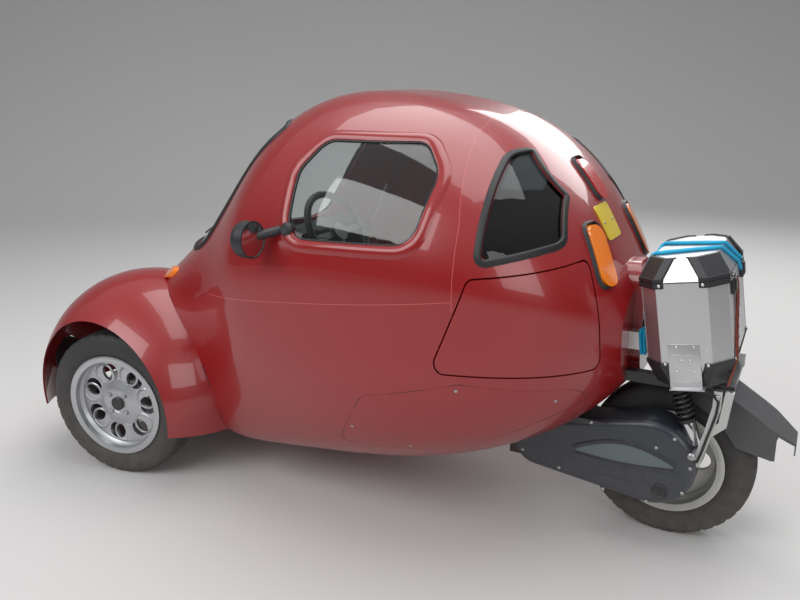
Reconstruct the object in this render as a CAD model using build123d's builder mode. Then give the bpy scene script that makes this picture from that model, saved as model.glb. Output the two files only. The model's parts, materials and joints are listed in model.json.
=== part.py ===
"""Three-wheeled car: an egg-shaped moulded cab on two steered front wheels and one driven rear wheel.

Millimetres, Z up, origin on the ground at the middle of the bounding box. The nose points to -X and the
driver's left is -Y. Distances called behind are measured rearwards from a datum line across the nose.
"""
from build123d import *
import math
import os

os.makedirs("parts", exist_ok=True)

# Driving dimensions
WHEELBASE = 2020
FRONT_AXLE = -60
REAR_AXLE = FRONT_AXLE + WHEELBASE
FRONT_TRACK = 1090
NOSE_REACH = 560
TAIL_REACH = 2330
WALL = 20
LEDGE = 12
LEDGE_LAP = 15
SHUT_GAP = 5.5
FIXED_GAP = 0.5
SEAT_CLEARANCE = 0.3
PIN_CLEARANCE = 0.05
GLASS_INSET = 6
GLASS_THICKNESS = 5

FRONT_TYRE_RADIUS = 295
FRONT_TYRE_WIDTH = 175
FRONT_RIM_RADIUS = 190
REAR_TYRE_RADIUS = 270
REAR_TYRE_WIDTH = 140
REAR_RIM_RADIUS = 165
RIM_WALL = 8
RIM_LIP = 14

STEER_REST_DEG = 11.4
KINGPIN_OFFSET = 75

DATUM_X = (NOSE_REACH - TAIL_REACH) / 2
FRONT_AXLE_X = DATUM_X + FRONT_AXLE
REAR_AXLE_X = DATUM_X + REAR_AXLE
FRONT_HUB_Z = FRONT_TYRE_RADIUS
REAR_HUB_Z = REAR_TYRE_RADIUS
KINGPIN_Y = FRONT_TRACK / 2 - KINGPIN_OFFSET
SIDES = {"left": -1, "right": 1}
REACH = 900


def behind(distance):
    """Part-frame x of a place measured rearwards from the datum line."""
    return DATUM_X + distance


def save(piece, label):
    """Label a finished piece and write its file."""
    piece.label = label
    export_step(piece, f"parts/{label}.step")


# Body form: distance behind, half width, waist, roof and belly heights, fullness of the top and share of the
# floor that is flat
BODY_SECTIONS = [
    (-NOSE_REACH, 90, 350, 400, 305, 0.1, 0.4),
    (-500, 235, 370, 465, 270, 0.1, 0.4),
    (-300, 350, 430, 605, 245, 0.1, 0.43),
    (0, 440, 560, 820, 238, 0.06, 0.56),
    (300, 500, 600, 1100, 214, 0.05, 0.8),
    (600, 590, 740, 1387, 203, 0.1, 0.73),
    (1000, 640, 780, 1467, 228, 0.16, 0.56),
    (1350, 622, 800, 1397, 280, 0.16, 0.44),
    (1600, 535, 800, 1240, 376, 0.14, 0.4),
    (1755, 395, 775, 1005, 480, 0.12, 0.4),
    (1830, 240, 740, 860, 555, 0.1, 0.4),
]


def body_section(half, waist, roof, belly, fullness, floor_share):
    """One closed section: flats at the sides, roof and floor, joined by quarter ellipses."""
    floor_half = floor_share * half
    roof_half = fullness * half
    side_top = fullness * (roof - waist)
    side_bottom = fullness * (waist - belly)
    with BuildLine() as outline:
        for hand, up_start, down_start in ((1, 0, 270), (-1, 90, 180)):
            EllipticalCenterArc((hand * roof_half, waist + side_top), half - roof_half,
                                roof - waist - side_top, start_angle=up_start, arc_size=90)
            EllipticalCenterArc((hand * floor_half, waist - side_bottom), half - floor_half,
                                waist - belly - side_bottom, start_angle=down_start, arc_size=90)
            Line((hand * half, waist + side_top), (hand * half, waist - side_bottom))
        Line((-roof_half, roof), (roof_half, roof))
        Line((-floor_half, belly), (floor_half, belly))
    return outline.line


def body_hull(inset):
    """The closed body form, every section drawn in by inset, or out where inset is negative."""
    last = len(BODY_SECTIONS) - 1
    with BuildPart() as form:
        for index, (distance, half, waist, roof, belly, fullness, floor_share) in enumerate(BODY_SECTIONS):
            station = behind(distance) + inset * (1 - 2 * index / last)
            with BuildSketch(Plane.YZ.offset(station)):
                with BuildLine():
                    add(body_section(half - inset, waist, roof - inset, belly + inset, fullness, floor_share))
                make_face()
        loft()
    return form.part


def side_prism(outline, corner, hand, grow=0, lean=0):
    """A prism out through one side of the car, from an outline of (distance behind, height).

    A prism with a lean runs rearwards as it goes outwards, and holds its outline at LEAN_Y.
    """
    with BuildPart() as prism:
        with BuildSketch(Plane.XZ) as face:
            with BuildLine():
                Polyline(*[(behind(distance) - lean * LEAN_Y, z) for distance, z in outline], close=True)
            make_face()
            fillet(face.vertices(), corner)
            if grow:
                offset(amount=grow)
        extrude(amount=REACH * math.hypot(1, lean), dir=(lean, hand, 0))
    return prism.part


def end_prism(outline, corner, start, depth):
    """A prism along the car from start, running depth rearwards, from an outline of (y, height)."""
    with BuildPart() as prism:
        with BuildSketch(Plane.YZ.offset(behind(start))) as face:
            with BuildLine():
                Polyline(*outline, close=True)
            make_face()
            fillet(face.vertices(), corner)
        extrude(amount=depth)
    return prism.part


def cross_bar(distance, z, radius, y_low, y_high):
    """A cylinder lying across the car."""
    with BuildPart() as bar:
        with BuildSketch(Plane.XZ.offset(-y_low)):
            with Locations((behind(distance), z)):
                Circle(radius)
        extrude(amount=y_high - y_low, dir=(0, 1, 0))
    return bar.part


def block(behind_low, behind_high, y_low, y_high, z_low, z_high):
    """A square-cornered block between two corners."""
    middle = (behind((behind_low + behind_high) / 2), (y_low + y_high) / 2, (z_low + z_high) / 2)
    with BuildPart() as piece:
        with Locations(middle):
            Box(behind_high - behind_low, y_high - y_low, z_high - z_low)
    return piece.part


# Openings and panels of the body, as outlines of (distance behind, height)
SIDE_WINDOW = [(865, 1035), (1310, 1045), (1345, 1240), (1270, 1325), (930, 1330), (860, 1240)]
SIDE_WINDOW_CORNER = 75
QUARTER_WINDOW = [(1500, 1010), (1675, 1045), (1640, 1160), (1525, 1285), (1492, 1280)]
QUARTER_WINDOW_CORNER = 16
DOOR_FRONT = 500
DOOR = [(DOOR_FRONT, 330), (925, 330), (1085, 615), (1325, 690), (1425, 975), (1425, 1130), (1290, 1368),
        (1000, 1392), (760, 1345), (560, 1010), (DOOR_FRONT, 880)]
DOOR_FRAME = [(DOOR_FRONT, 330), (900, 330), (1060, 635), (1300, 712), (1400, 985), (1400, 1118), (1262, 1366),
              (1000, 1388), (760, 1345), (560, 1010), (DOOR_FRONT, 880)]
DOOR_CORNER = 45
HATCH = [(1274, 678), (1926, 665), (1887, 985), (1406, 958)]
HATCH_FRAME = [(1274, 678), (1898, 665), (1859, 985), (1406, 958)]
HATCH_CORNER = 32
HATCH_LEAN = 0.8
LEAN_Y = 500
PANEL_SKIN = 8
SIDE_PANEL = [(990, 345), (1300, 355), (1500, 420), (1760, 560), (1740, 610), (1450, 645), (1130, 560)]
SIDE_PANEL_CORNER = 25
SEAM = [(-700, 655), (1432, 895), (1432, 1100), (1335, 1600), (-700, 1600)]
HINGE_STRIP = 90
WINDSCREEN = [(-400, 905), (400, 905), (335, 1362), (-335, 1362)]
WINDSCREEN_CORNER = 60
WINDSCREEN_BACK = 830

# Front wheel wells
WELL_RADIUS = 452
WELL_WALL = 12
WELL_INNER_Y = 290

hull = body_hull(0)
cavity = body_hull(WALL)
lined_cavity = body_hull(WALL + LEDGE)
panel_skin = hull - body_hull(WALL - SEAT_CLEARANCE)
outer_skin = hull - body_hull(PANEL_SKIN)
glass_skin = body_hull(GLASS_INSET) - body_hull(GLASS_INSET + GLASS_THICKNESS)

# Hinged panels: skin outline, frame outline, corner radius, side and lean
HINGED = {
    "door_right": (DOOR, DOOR_FRAME, DOOR_CORNER, 1, 0),
    "hatch_left": (HATCH, HATCH_FRAME, HATCH_CORNER, -1, HATCH_LEAN),
    "hatch_right": (HATCH, HATCH_FRAME, HATCH_CORNER, 1, HATCH_LEAN),
}

with BuildPart() as interior:
    add(cavity)
    for outline, frame, corner, hand, lean in HINGED.values():
        add(side_prism(outline, corner, hand, LEDGE_LAP + SHUT_GAP, lean), mode=Mode.SUBTRACT)
    add(lined_cavity)

with BuildPart() as shell:
    add(hull)
    add(interior.part, mode=Mode.SUBTRACT)
    for hand in SIDES.values():
        low, high = sorted((hand * WELL_INNER_Y, hand * REACH))
        add(cross_bar(FRONT_AXLE, FRONT_HUB_Z, WELL_RADIUS, low, high), mode=Mode.SUBTRACT)
        add(side_prism(QUARTER_WINDOW, QUARTER_WINDOW_CORNER, hand), mode=Mode.SUBTRACT)
        add(side_prism(SIDE_PANEL, SIDE_PANEL_CORNER, hand, FIXED_GAP), mode=Mode.SUBTRACT)
    add(side_prism(SIDE_WINDOW, SIDE_WINDOW_CORNER, -1), mode=Mode.SUBTRACT)
    for outline, frame, corner, hand, lean in HINGED.values():
        add(side_prism(outline, corner, hand, SHUT_GAP, lean) - cavity, mode=Mode.SUBTRACT)
        add(side_prism(outline, corner, hand, -LEDGE_LAP, lean), mode=Mode.SUBTRACT)
    hinge_strip = block(DOOR_FRONT - SHUT_GAP, DOOR_FRONT + HINGE_STRIP, 0, REACH, 0, 2000)
    add(side_prism(DOOR, DOOR_CORNER, 1, SHUT_GAP) & hinge_strip, mode=Mode.SUBTRACT)
    add(end_prism(WINDSCREEN, WINDSCREEN_CORNER, -REACH, REACH + WINDSCREEN_BACK), mode=Mode.SUBTRACT)

with BuildPart() as seam_zone:
    with BuildSketch(Plane.XZ):
        with BuildLine():
            Polyline(*[(behind(distance), z) for distance, z in SEAM], close=True)
        make_face()
    extrude(amount=REACH, both=True)

save(shell.part - seam_zone.part, "lower_body")
save(shell.part & seam_zone.part, "upper_body")

# Hinged panels and their glass
for label, (outline, frame, corner, hand, lean) in HINGED.items():
    with BuildPart() as panel:
        add(panel_skin & side_prism(frame, corner, hand, 0, lean))
        add(outer_skin & side_prism(outline, corner, hand, 0, lean))
        if label == "door_right":
            add(side_prism(SIDE_WINDOW, SIDE_WINDOW_CORNER, hand), mode=Mode.SUBTRACT)
    save(panel.part, label)

# Glass
for label, outline, corner, hands in (
    ("side_window_left", SIDE_WINDOW, SIDE_WINDOW_CORNER, (-1,)),
    ("side_window_right", SIDE_WINDOW, SIDE_WINDOW_CORNER, (1,)),
    ("quarter_windows", QUARTER_WINDOW, QUARTER_WINDOW_CORNER, (-1, 1)),
):
    with BuildPart() as pane:
        for hand in hands:
            add(glass_skin & side_prism(outline, corner, hand, -SEAT_CLEARANCE))
    save(pane.part, label)

with BuildPart() as windscreen:
    add(glass_skin)
    add(end_prism(WINDSCREEN, WINDSCREEN_CORNER, -REACH, REACH + WINDSCREEN_BACK), mode=Mode.INTERSECT)
save(windscreen.part, "windscreen")

# Screwed lower side panels
with BuildPart() as side_panels:
    for hand in SIDES.values():
        add((hull - cavity) & side_prism(SIDE_PANEL, SIDE_PANEL_CORNER, hand))
save(side_panels.part, "side_panels")

# Wheel well liners: a drum over each wheel and a wall beside the footwell
with BuildPart() as wheel_wells:
    for hand in SIDES.values():
        low, high = sorted((hand * (WELL_INNER_Y - WELL_WALL), hand * REACH))
        add(cross_bar(FRONT_AXLE, FRONT_HUB_Z, WELL_RADIUS, low, high))
    for hand in SIDES.values():
        low, high = sorted((hand * WELL_INNER_Y, hand * REACH))
        add(cross_bar(FRONT_AXLE, FRONT_HUB_Z, WELL_RADIUS - WELL_WALL, low, high), mode=Mode.SUBTRACT)
    add(cavity, mode=Mode.INTERSECT)
save(wheel_wells.part, "wheel_wells")

# Front wings
WING_DROP_DEG = 9
WING_SKIN = 8
WING_OUTER = [(200, 458), (530, 446), (655, 352)]
HEADLAMP_RADIUS = 73
HEADLAMP_Y = 455
HEADLAMP_Z = 390
HEADLAMP_FRONT = -530
HEADLAMP_DEPTH = 130
HEADLAMP_ROUND = 24


def lamp_drum(hand, radius):
    """The space of one headlamp, lying along the car."""
    with BuildPart() as drum:
        with BuildSketch(Plane.YZ.offset(behind(HEADLAMP_FRONT))):
            with Locations((hand * HEADLAMP_Y, HEADLAMP_Z)):
                Circle(radius)
        extrude(amount=HEADLAMP_DEPTH)
    return drum.part


wings = {}
for side, hand in SIDES.items():
    drop = math.radians(WING_DROP_DEG)
    start_dir = Vector(-math.cos(drop), 0, -math.sin(drop))
    across = Vector(0, hand, 0)
    hub = Vector(FRONT_AXLE_X, 0, FRONT_HUB_Z)
    start_plane = Plane(origin=hub, x_dir=across, z_dir=across.cross(start_dir))
    inner, crown, lip = WING_OUTER
    with BuildPart() as wing:
        with BuildSketch(start_plane):
            with BuildLine():
                ThreePointArc(inner, crown, lip)
                Line(lip, (lip[0] - WING_SKIN, lip[1]))
                ThreePointArc((lip[0] - WING_SKIN, lip[1]), (crown[0] - WING_SKIN / 2, crown[1] - WING_SKIN),
                              (inner[0], inner[1] - WING_SKIN))
                Line((inner[0], inner[1] - WING_SKIN), inner)
            make_face()
        revolve(axis=Axis(hub, (0, 1, 0)), revolution_arc=180 + 2 * WING_DROP_DEG)
        add(hull, mode=Mode.SUBTRACT)
        add(lamp_drum(hand, HEADLAMP_RADIUS + FIXED_GAP), mode=Mode.SUBTRACT)
    save(wing.part, f"wing_{side}")
    wings[side] = wing.part

with BuildPart() as headlamps:
    for hand in SIDES.values():
        add(lamp_drum(hand, HEADLAMP_RADIUS))
    fillet(headlamps.edges().filter_by(GeomType.CIRCLE).group_by(Axis.X)[0], HEADLAMP_ROUND)
save(headlamps.part, "headlamps")

# Lamps, plate and hump that stand proud of the body
LAMP_PROUD = 12
PLATE_PROUD = 3
PLATE_CORNER = 10
HUMP_PROUD = 30
lamp_skin = body_hull(-LAMP_PROUD) - hull
FRONT_INDICATOR = [(330, 765), (385, 765), (385, 815), (330, 815)]
FRONT_LAMP_CORNER = 22
REAR_INDICATOR = [(215, 900), (300, 900), (257, 1072), (172, 1072)]
TAIL_LAMP = [(-65, 1125), (25, 1125), (38, 1245), (-52, 1245)]
REAR_LAMP_CORNER = 32
NUMBER_PLATE = [(-135, 1010), (-5, 1010), (-5, 1112), (-135, 1112)]
HUMP = [(-100, 565), (100, 565), (100, 930), (-100, 930)]
HUMP_CORNER = 70
BONNET_START = -300
BONNET_DEPTH = 600
TAIL_START = 1300
TAIL_DEPTH = 700

with BuildPart() as indicators:
    for side, hand in SIDES.items():
        front_place = [(hand * y, z) for y, z in FRONT_INDICATOR]
        rear_place = [(hand * y, z) for y, z in REAR_INDICATOR]
        front_prism = end_prism(front_place, FRONT_LAMP_CORNER, BONNET_START, BONNET_DEPTH)
        front_lamp = (lamp_skin & front_prism) - wings[side]
        add(front_lamp.solids().sort_by(SortBy.VOLUME)[-1])
        add(lamp_skin & end_prism(rear_place, REAR_LAMP_CORNER, TAIL_START, TAIL_DEPTH))
save(indicators.part, "indicators")

with BuildPart() as tail_lamp:
    add(lamp_skin & end_prism(TAIL_LAMP, REAR_LAMP_CORNER, TAIL_START, TAIL_DEPTH))
save(tail_lamp.part, "tail_lamp")

with BuildPart() as number_plate:
    add(body_hull(-PLATE_PROUD) - hull)
    add(end_prism(NUMBER_PLATE, PLATE_CORNER, TAIL_START, TAIL_DEPTH), mode=Mode.INTERSECT)
save(number_plate.part, "number_plate")

with BuildPart() as tail_hump:
    add(body_hull(-HUMP_PROUD) - hull)
    add(end_prism(HUMP, HUMP_CORNER, TAIL_START, TAIL_DEPTH), mode=Mode.INTERSECT)
save(tail_hump.part, "tail_hump")

# Door mirrors
MIRROR_RADIUS = 58
MIRROR_DEPTH = 55
MIRROR_ROUND = 30
MIRROR_HEAD = (745, 690, 1040)
MIRROR_FOOT = (865, 560, 1065)
MIRROR_ARM_RADIUS = 13
for side, hand in SIDES.items():
    head = Vector(behind(MIRROR_HEAD[0]), hand * MIRROR_HEAD[1], MIRROR_HEAD[2])
    foot = Vector(behind(MIRROR_FOOT[0]), hand * MIRROR_FOOT[1], MIRROR_FOOT[2])
    with BuildPart() as mirror:
        with BuildSketch(Plane(origin=head, z_dir=(1, 0, 0))):
            Circle(MIRROR_RADIUS)
        extrude(amount=MIRROR_DEPTH)
        fillet(mirror.edges().filter_by(GeomType.CIRCLE).group_by(Axis.X)[0], MIRROR_ROUND)
        arm_start = head + Vector(MIRROR_DEPTH / 2, 0, 0)
        with BuildSketch(Plane(origin=arm_start, z_dir=foot - arm_start)):
            Circle(MIRROR_ARM_RADIUS)
        extrude(amount=(foot - arm_start).length)
        add(hull, mode=Mode.SUBTRACT)
    save(mirror.part, f"mirror_{side}")

# Cab furniture
SEAT_HALF = 240
SEAT_FRONT = 800
SEAT_TOP = 480
BACKREST = [(1215, 300), (1330, 300), (1350, 1010), (1260, 1010)]
DASH = [(330, 780), (470, 780), (470, 900), (380, 925), (330, 860)]
BULKHEAD = (1365, 1377)
BULKHEAD_TOP = 960

with BuildPart() as seat:
    add(block(SEAT_FRONT, BACKREST[0][0] + 40, -SEAT_HALF, SEAT_HALF, 100, SEAT_TOP))
    with BuildSketch(Plane.XZ):
        with BuildLine():
            Polyline(*[(behind(distance), z) for distance, z in BACKREST], close=True)
        make_face()
    extrude(amount=SEAT_HALF, both=True)
    add(cavity, mode=Mode.INTERSECT)
save(seat.part, "seat")

WHEEL_CENTRE = (650, 930)
COLUMN_START = (400, 790)
COLUMN_RADIUS = 20
SHAFT_RADIUS = 8
SHAFT_LENGTH = 60
STEERING_WHEEL_RADIUS = 165
STEERING_GRIP = 14
HUB_RADIUS = 38
HUB_DEPTH = 30
column_base = Vector(behind(COLUMN_START[0]), 0, COLUMN_START[1])
wheel_centre = Vector(behind(WHEEL_CENTRE[0]), 0, WHEEL_CENTRE[1])
column_dir = (wheel_centre - column_base).normalized()
wheel_plane = Plane(origin=wheel_centre, x_dir=(0, 1, 0), z_dir=column_dir)
column_end = wheel_plane.offset(-HUB_DEPTH / 2 - SEAT_CLEARANCE)
column_length = (wheel_centre - column_base).length - HUB_DEPTH / 2 - SEAT_CLEARANCE

with BuildPart() as steering_column:
    with BuildSketch(column_end):
        Circle(COLUMN_RADIUS)
    extrude(amount=-column_length)
    with BuildSketch(column_end):
        Circle(SHAFT_RADIUS + PIN_CLEARANCE)
    extrude(amount=-SHAFT_LENGTH, mode=Mode.SUBTRACT)
save(steering_column.part, "steering_column")

with BuildPart() as dashboard:
    with BuildSketch(Plane.XZ):
        with BuildLine():
            Polyline(*[(behind(distance), z) for distance, z in DASH], close=True)
        make_face()
    extrude(amount=REACH, both=True)
    add(cavity, mode=Mode.INTERSECT)
    add(steering_column.part, mode=Mode.SUBTRACT)
save(dashboard.part, "dashboard")

with BuildPart() as steering_wheel:
    with BuildSketch(Plane(origin=wheel_centre, x_dir=(0, 1, 0), z_dir=column_dir.cross(Vector(0, 1, 0)))):
        with Locations((STEERING_WHEEL_RADIUS, 0)):
            Circle(STEERING_GRIP)
    revolve(axis=Axis(wheel_centre, column_dir))
    with BuildSketch(wheel_plane.offset(-HUB_DEPTH / 2)):
        Circle(HUB_RADIUS)
    extrude(amount=HUB_DEPTH)
    with BuildSketch(wheel_plane.offset(-5)):
        for angle in (0, 180, 270):
            with Locations(Rotation(0, 0, angle) * Location((STEERING_WHEEL_RADIUS / 2, 0, 0))):
                Rectangle(STEERING_WHEEL_RADIUS, 26)
    extrude(amount=8)
    with BuildSketch(wheel_plane.offset(-HUB_DEPTH / 2)):
        Circle(SHAFT_RADIUS)
    extrude(amount=-(SHAFT_LENGTH - 5))
save(steering_wheel.part, "steering_wheel")

with BuildPart() as bulkhead:
    add(block(BULKHEAD[0], BULKHEAD[1], -REACH, REACH, 0, BULKHEAD_TOP))
    add(interior.part, mode=Mode.INTERSECT)
save(bulkhead.part, "bulkhead")

# Front axle: a beam under the belly, plates up the well walls, wishbones out to the kingpins
BEAM_HALF = 40
BEAM_BOTTOM = 165
PLATE_HALF = 100
PLATE_THICKNESS = 10
PLATE_TOP = 425
ARM_THICKNESS = 24
LOWER_ARM_Z = 180
UPPER_ARM_Z = 385
EYE_RADIUS = 24
PIN_RADIUS = 11
RACK_BEHIND = 130
RACK_Z = 194
RACK_RADIUS = 17
RACK_HALF = 120
ROD_RADIUS = 9
ROD_SHORT = 45
plate_y = WELL_INNER_Y + PLATE_THICKNESS
rack_line = FRONT_AXLE + RACK_BEHIND
rod_shift = RACK_BEHIND * math.sin(math.radians(STEER_REST_DEG))
rod_half = KINGPIN_Y - ROD_SHORT

with BuildPart() as front_axle:
    add(block(FRONT_AXLE - BEAM_HALF, FRONT_AXLE + BEAM_HALF, -plate_y, plate_y, BEAM_BOTTOM, 260))
    add(block(FRONT_AXLE, rack_line, -60, 60, RACK_Z - RACK_RADIUS, RACK_Z + RACK_RADIUS))
    add(cross_bar(rack_line, RACK_Z, RACK_RADIUS, -RACK_HALF, RACK_HALF))
    add(cross_bar(rack_line, RACK_Z, ROD_RADIUS + PIN_CLEARANCE, -REACH, REACH), mode=Mode.SUBTRACT)
    add(hull, mode=Mode.SUBTRACT)
    for hand in SIDES.values():
        low, high = sorted((hand * WELL_INNER_Y, hand * plate_y))
        add(block(FRONT_AXLE - PLATE_HALF, FRONT_AXLE + PLATE_HALF, low, high, BEAM_BOTTOM, PLATE_TOP))
        for arm_z in (LOWER_ARM_Z, UPPER_ARM_Z):
            with BuildSketch(Plane.XY.offset(arm_z)):
                with BuildLine():
                    Polyline((FRONT_AXLE_X - 85, hand * plate_y), (FRONT_AXLE_X + 85, hand * plate_y),
                             (FRONT_AXLE_X + 18, hand * KINGPIN_Y), (FRONT_AXLE_X - 18, hand * KINGPIN_Y),
                             close=True)
                make_face()
                with BuildLine():
                    Polyline((FRONT_AXLE_X - 52, hand * (plate_y + 12)),
                             (FRONT_AXLE_X + 52, hand * (plate_y + 12)),
                             (FRONT_AXLE_X, hand * (KINGPIN_Y - 50)), close=True)
                make_face(mode=Mode.SUBTRACT)
                with Locations((FRONT_AXLE_X, hand * KINGPIN_Y)):
                    Circle(EYE_RADIUS)
                    Circle(PIN_RADIUS + PIN_CLEARANCE, mode=Mode.SUBTRACT)
            extrude(amount=ARM_THICKNESS)
save(front_axle.part, "front_axle")

with BuildPart() as track_rod:
    add(cross_bar(rack_line, RACK_Z, ROD_RADIUS, rod_shift - rod_half, rod_shift + rod_half))
save(track_rod.part, "track_rod")

# Steered wheels: all pieces are laid out on an upright plane at the kingpin, turned to the rest angle
STUB_RADIUS = 15
DISC_RADIUS = 120
DISC_THICKNESS = 10
DISC_INNER = -40
RIM_FACE = 30
RIM_FACE_DEPTH = 14
RIM_BOSS_RADIUS = 62
RIM_BOSS_DEPTH = 26
UPRIGHT_RADIUS = 24
ARM_Z = 211
ARM_DEPTH = 12
CALIPER_HALF = 34
RIM_HOLES = 7
RIM_HOLE_RADIUS = 36
RIM_HOLE_CIRCLE = 128


def wheel_profile_plane(centre, outward):
    """A plane holding a wheel's axle: x runs outward along the axle, y upwards."""
    return Plane(origin=centre, x_dir=outward, z_dir=outward.cross(Vector(0, 0, 1)))


def tyre(centre, outward, radius, width, rim_radius):
    """A tyre: bead, rounded sidewalls and a slightly crowned tread."""
    half = width / 2
    bead_half = half - 15
    tread_half = half - 22
    shoulder = radius - 9
    belly_r = (radius + rim_radius) / 2 - 4
    with BuildPart() as ring:
        with BuildSketch(wheel_profile_plane(centre, outward)):
            with BuildLine():
                for end in (-1, 1):
                    Line((end * bead_half, rim_radius), (end * bead_half, rim_radius + RIM_LIP + 4))
                    ThreePointArc((end * bead_half, rim_radius + RIM_LIP + 4), (end * half, belly_r + 6),
                                  (end * tread_half, shoulder))
                ThreePointArc((-tread_half, shoulder), (0, radius), (tread_half, shoulder))
                Line((-bead_half, rim_radius), (bead_half, rim_radius))
            make_face()
        revolve(axis=Axis(centre, outward))
    return ring.part


def rim_barrel(centre, outward, width, rim_radius):
    """The rim's barrel with a lip at each end, outside the tyre's beads."""
    bead_half = width / 2 - 15
    edge = bead_half + RIM_WALL
    with BuildPart() as barrel:
        with BuildSketch(wheel_profile_plane(centre, outward)):
            with BuildLine():
                Polyline((-edge, rim_radius - RIM_WALL), (edge, rim_radius - RIM_WALL),
                         (edge, rim_radius + RIM_LIP), (bead_half, rim_radius + RIM_LIP),
                         (bead_half, rim_radius), (-bead_half, rim_radius),
                         (-bead_half, rim_radius + RIM_LIP), (-edge, rim_radius + RIM_LIP), close=True)
            make_face()
        revolve(axis=Axis(centre, outward))
    return barrel.part


for side, hand in SIDES.items():
    turn = math.radians(STEER_REST_DEG)
    outward = Vector(-hand * math.sin(turn), hand * math.cos(turn), 0)
    rearward = Vector(math.cos(turn), math.sin(turn), 0)
    kingpin = Vector(FRONT_AXLE_X, hand * KINGPIN_Y, FRONT_HUB_Z)
    centre = kingpin + outward * KINGPIN_OFFSET
    axle = Plane(origin=centre, x_dir=rearward, z_dir=outward)

    save(tyre(centre, outward, FRONT_TYRE_RADIUS, FRONT_TYRE_WIDTH, FRONT_RIM_RADIUS), f"front_tyre_{side}")

    with BuildPart() as rim:
        add(rim_barrel(centre, outward, FRONT_TYRE_WIDTH, FRONT_RIM_RADIUS))
        with BuildSketch(axle.offset(RIM_FACE)):
            Circle(FRONT_RIM_RADIUS - RIM_WALL / 2)
            with PolarLocations(RIM_HOLE_CIRCLE, RIM_HOLES):
                Circle(RIM_HOLE_RADIUS, mode=Mode.SUBTRACT)
        extrude(amount=RIM_FACE_DEPTH)
        with BuildSketch(axle.offset(RIM_FACE)):
            Circle(RIM_BOSS_RADIUS)
        extrude(amount=RIM_BOSS_DEPTH)
    save(rim.part, f"front_rim_{side}")

    with BuildPart() as disc:
        with BuildSketch(axle.offset(DISC_INNER)):
            Circle(DISC_RADIUS)
        extrude(amount=DISC_THICKNESS)
        with BuildSketch(axle.offset(DISC_INNER)):
            Circle(58)
        extrude(amount=RIM_FACE - DISC_INNER)
        with BuildSketch(axle.offset(DISC_INNER)):
            Circle(STUB_RADIUS + PIN_CLEARANCE)
        extrude(amount=RIM_FACE - DISC_INNER - 10, mode=Mode.SUBTRACT)
    save(disc.part, f"front_disc_{side}")

    with BuildPart() as knuckle:
        low_z = LOWER_ARM_Z + ARM_THICKNESS + SEAT_CLEARANCE
        high_z = UPPER_ARM_Z - SEAT_CLEARANCE
        foot = Plane(origin=(kingpin.X, kingpin.Y, low_z), x_dir=rearward, z_dir=(0, 0, 1))
        with BuildSketch(foot):
            Circle(UPRIGHT_RADIUS)
        extrude(amount=high_z - low_z)
        with BuildSketch(foot.offset(-ARM_THICKNESS)):
            Circle(PIN_RADIUS)
        extrude(amount=high_z - low_z + 2 * ARM_THICKNESS)
        with BuildSketch(axle.offset(-KINGPIN_OFFSET)):
            Circle(STUB_RADIUS)
        extrude(amount=KINGPIN_OFFSET + 15)
        with BuildSketch(Plane(origin=(kingpin.X, kingpin.Y, ARM_Z), x_dir=rearward, z_dir=(0, 0, 1))):
            with Locations((RACK_BEHIND / 2, 0)):
                Rectangle(RACK_BEHIND, 26)
            with Locations((RACK_BEHIND, 0)):
                Circle(18)
        extrude(amount=ARM_DEPTH)
        with BuildSketch(axle.offset(-KINGPIN_OFFSET - 10)):
            with Locations((-50, 0)):
                Rectangle(100, 2 * CALIPER_HALF)
        extrude(amount=22)
        with BuildSketch(axle.offset(-KINGPIN_OFFSET - 10)):
            with Locations((-115, 0)):
                Rectangle(76, 2 * CALIPER_HALF)
        extrude(amount=KINGPIN_OFFSET + 10 - 8)
        with BuildSketch(axle.offset(DISC_INNER - 6)):
            Circle(DISC_RADIUS + 6)
        extrude(amount=DISC_THICKNESS + 12, mode=Mode.SUBTRACT)
        with BuildSketch(axle.offset(DISC_INNER - 6)):
            Circle(STUB_RADIUS)
        extrude(amount=DISC_THICKNESS + 12)
    save(knuckle.part, f"knuckle_{side}")

# Rear wheel and drive
REAR_HUB_RADIUS = 34
REAR_HUB_HALF = 62
REAR_AXLE_RADIUS = 12
REAR_DISC_RADIUS = 105
rear_centre = Vector(REAR_AXLE_X, 0, REAR_HUB_Z)
rear_outward = Vector(0, 1, 0)
rear_plane = Plane(origin=rear_centre, x_dir=(1, 0, 0), z_dir=(0, 1, 0))
save(tyre(rear_centre, rear_outward, REAR_TYRE_RADIUS, REAR_TYRE_WIDTH, REAR_RIM_RADIUS), "rear_tyre")

with BuildPart() as rear_rim:
    add(rim_barrel(rear_centre, rear_outward, REAR_TYRE_WIDTH, REAR_RIM_RADIUS))
    with BuildSketch(rear_plane.offset(-8)):
        Circle(REAR_RIM_RADIUS - RIM_WALL / 2)
        with PolarLocations(98, 5):
            Circle(34, mode=Mode.SUBTRACT)
    extrude(amount=16)
    with BuildSketch(rear_plane.offset(-REAR_HUB_HALF)):
        Circle(REAR_HUB_RADIUS)
    extrude(amount=2 * REAR_HUB_HALF + 8)
    with BuildSketch(rear_plane.offset(REAR_HUB_HALF)):
        Circle(REAR_DISC_RADIUS)
    extrude(amount=5)
    with BuildSketch(rear_plane.offset(-REAR_HUB_HALF)):
        Circle(REAR_AXLE_RADIUS + PIN_CLEARANCE)
    extrude(amount=2 * REAR_HUB_HALF + 8, mode=Mode.SUBTRACT)
save(rear_rim.part, "rear_rim")

COVER_INNER_Y = -84
COVER_OUTER_Y = -200
COVER_NOSE = (1560, 305, 88)
COVER_TAIL = (1925, 318, 145)
ENGINE_FRONT = 1420
ENGINE_BACK = 1680
ENGINE_BOTTOM = 190
ENGINE_TOP = 430
ARM_INNER_Y = 90
ARM_OUTER_Y = 120
LUG_BEHIND = 2052
LUG_Z = 372
LUG_RADIUS = 20
SHOCK_Y = 142
SHOCK_TOP = (1985, 585)
SHOCK_BODY_RADIUS = 19
SPRING_RADIUS = 31

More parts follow.
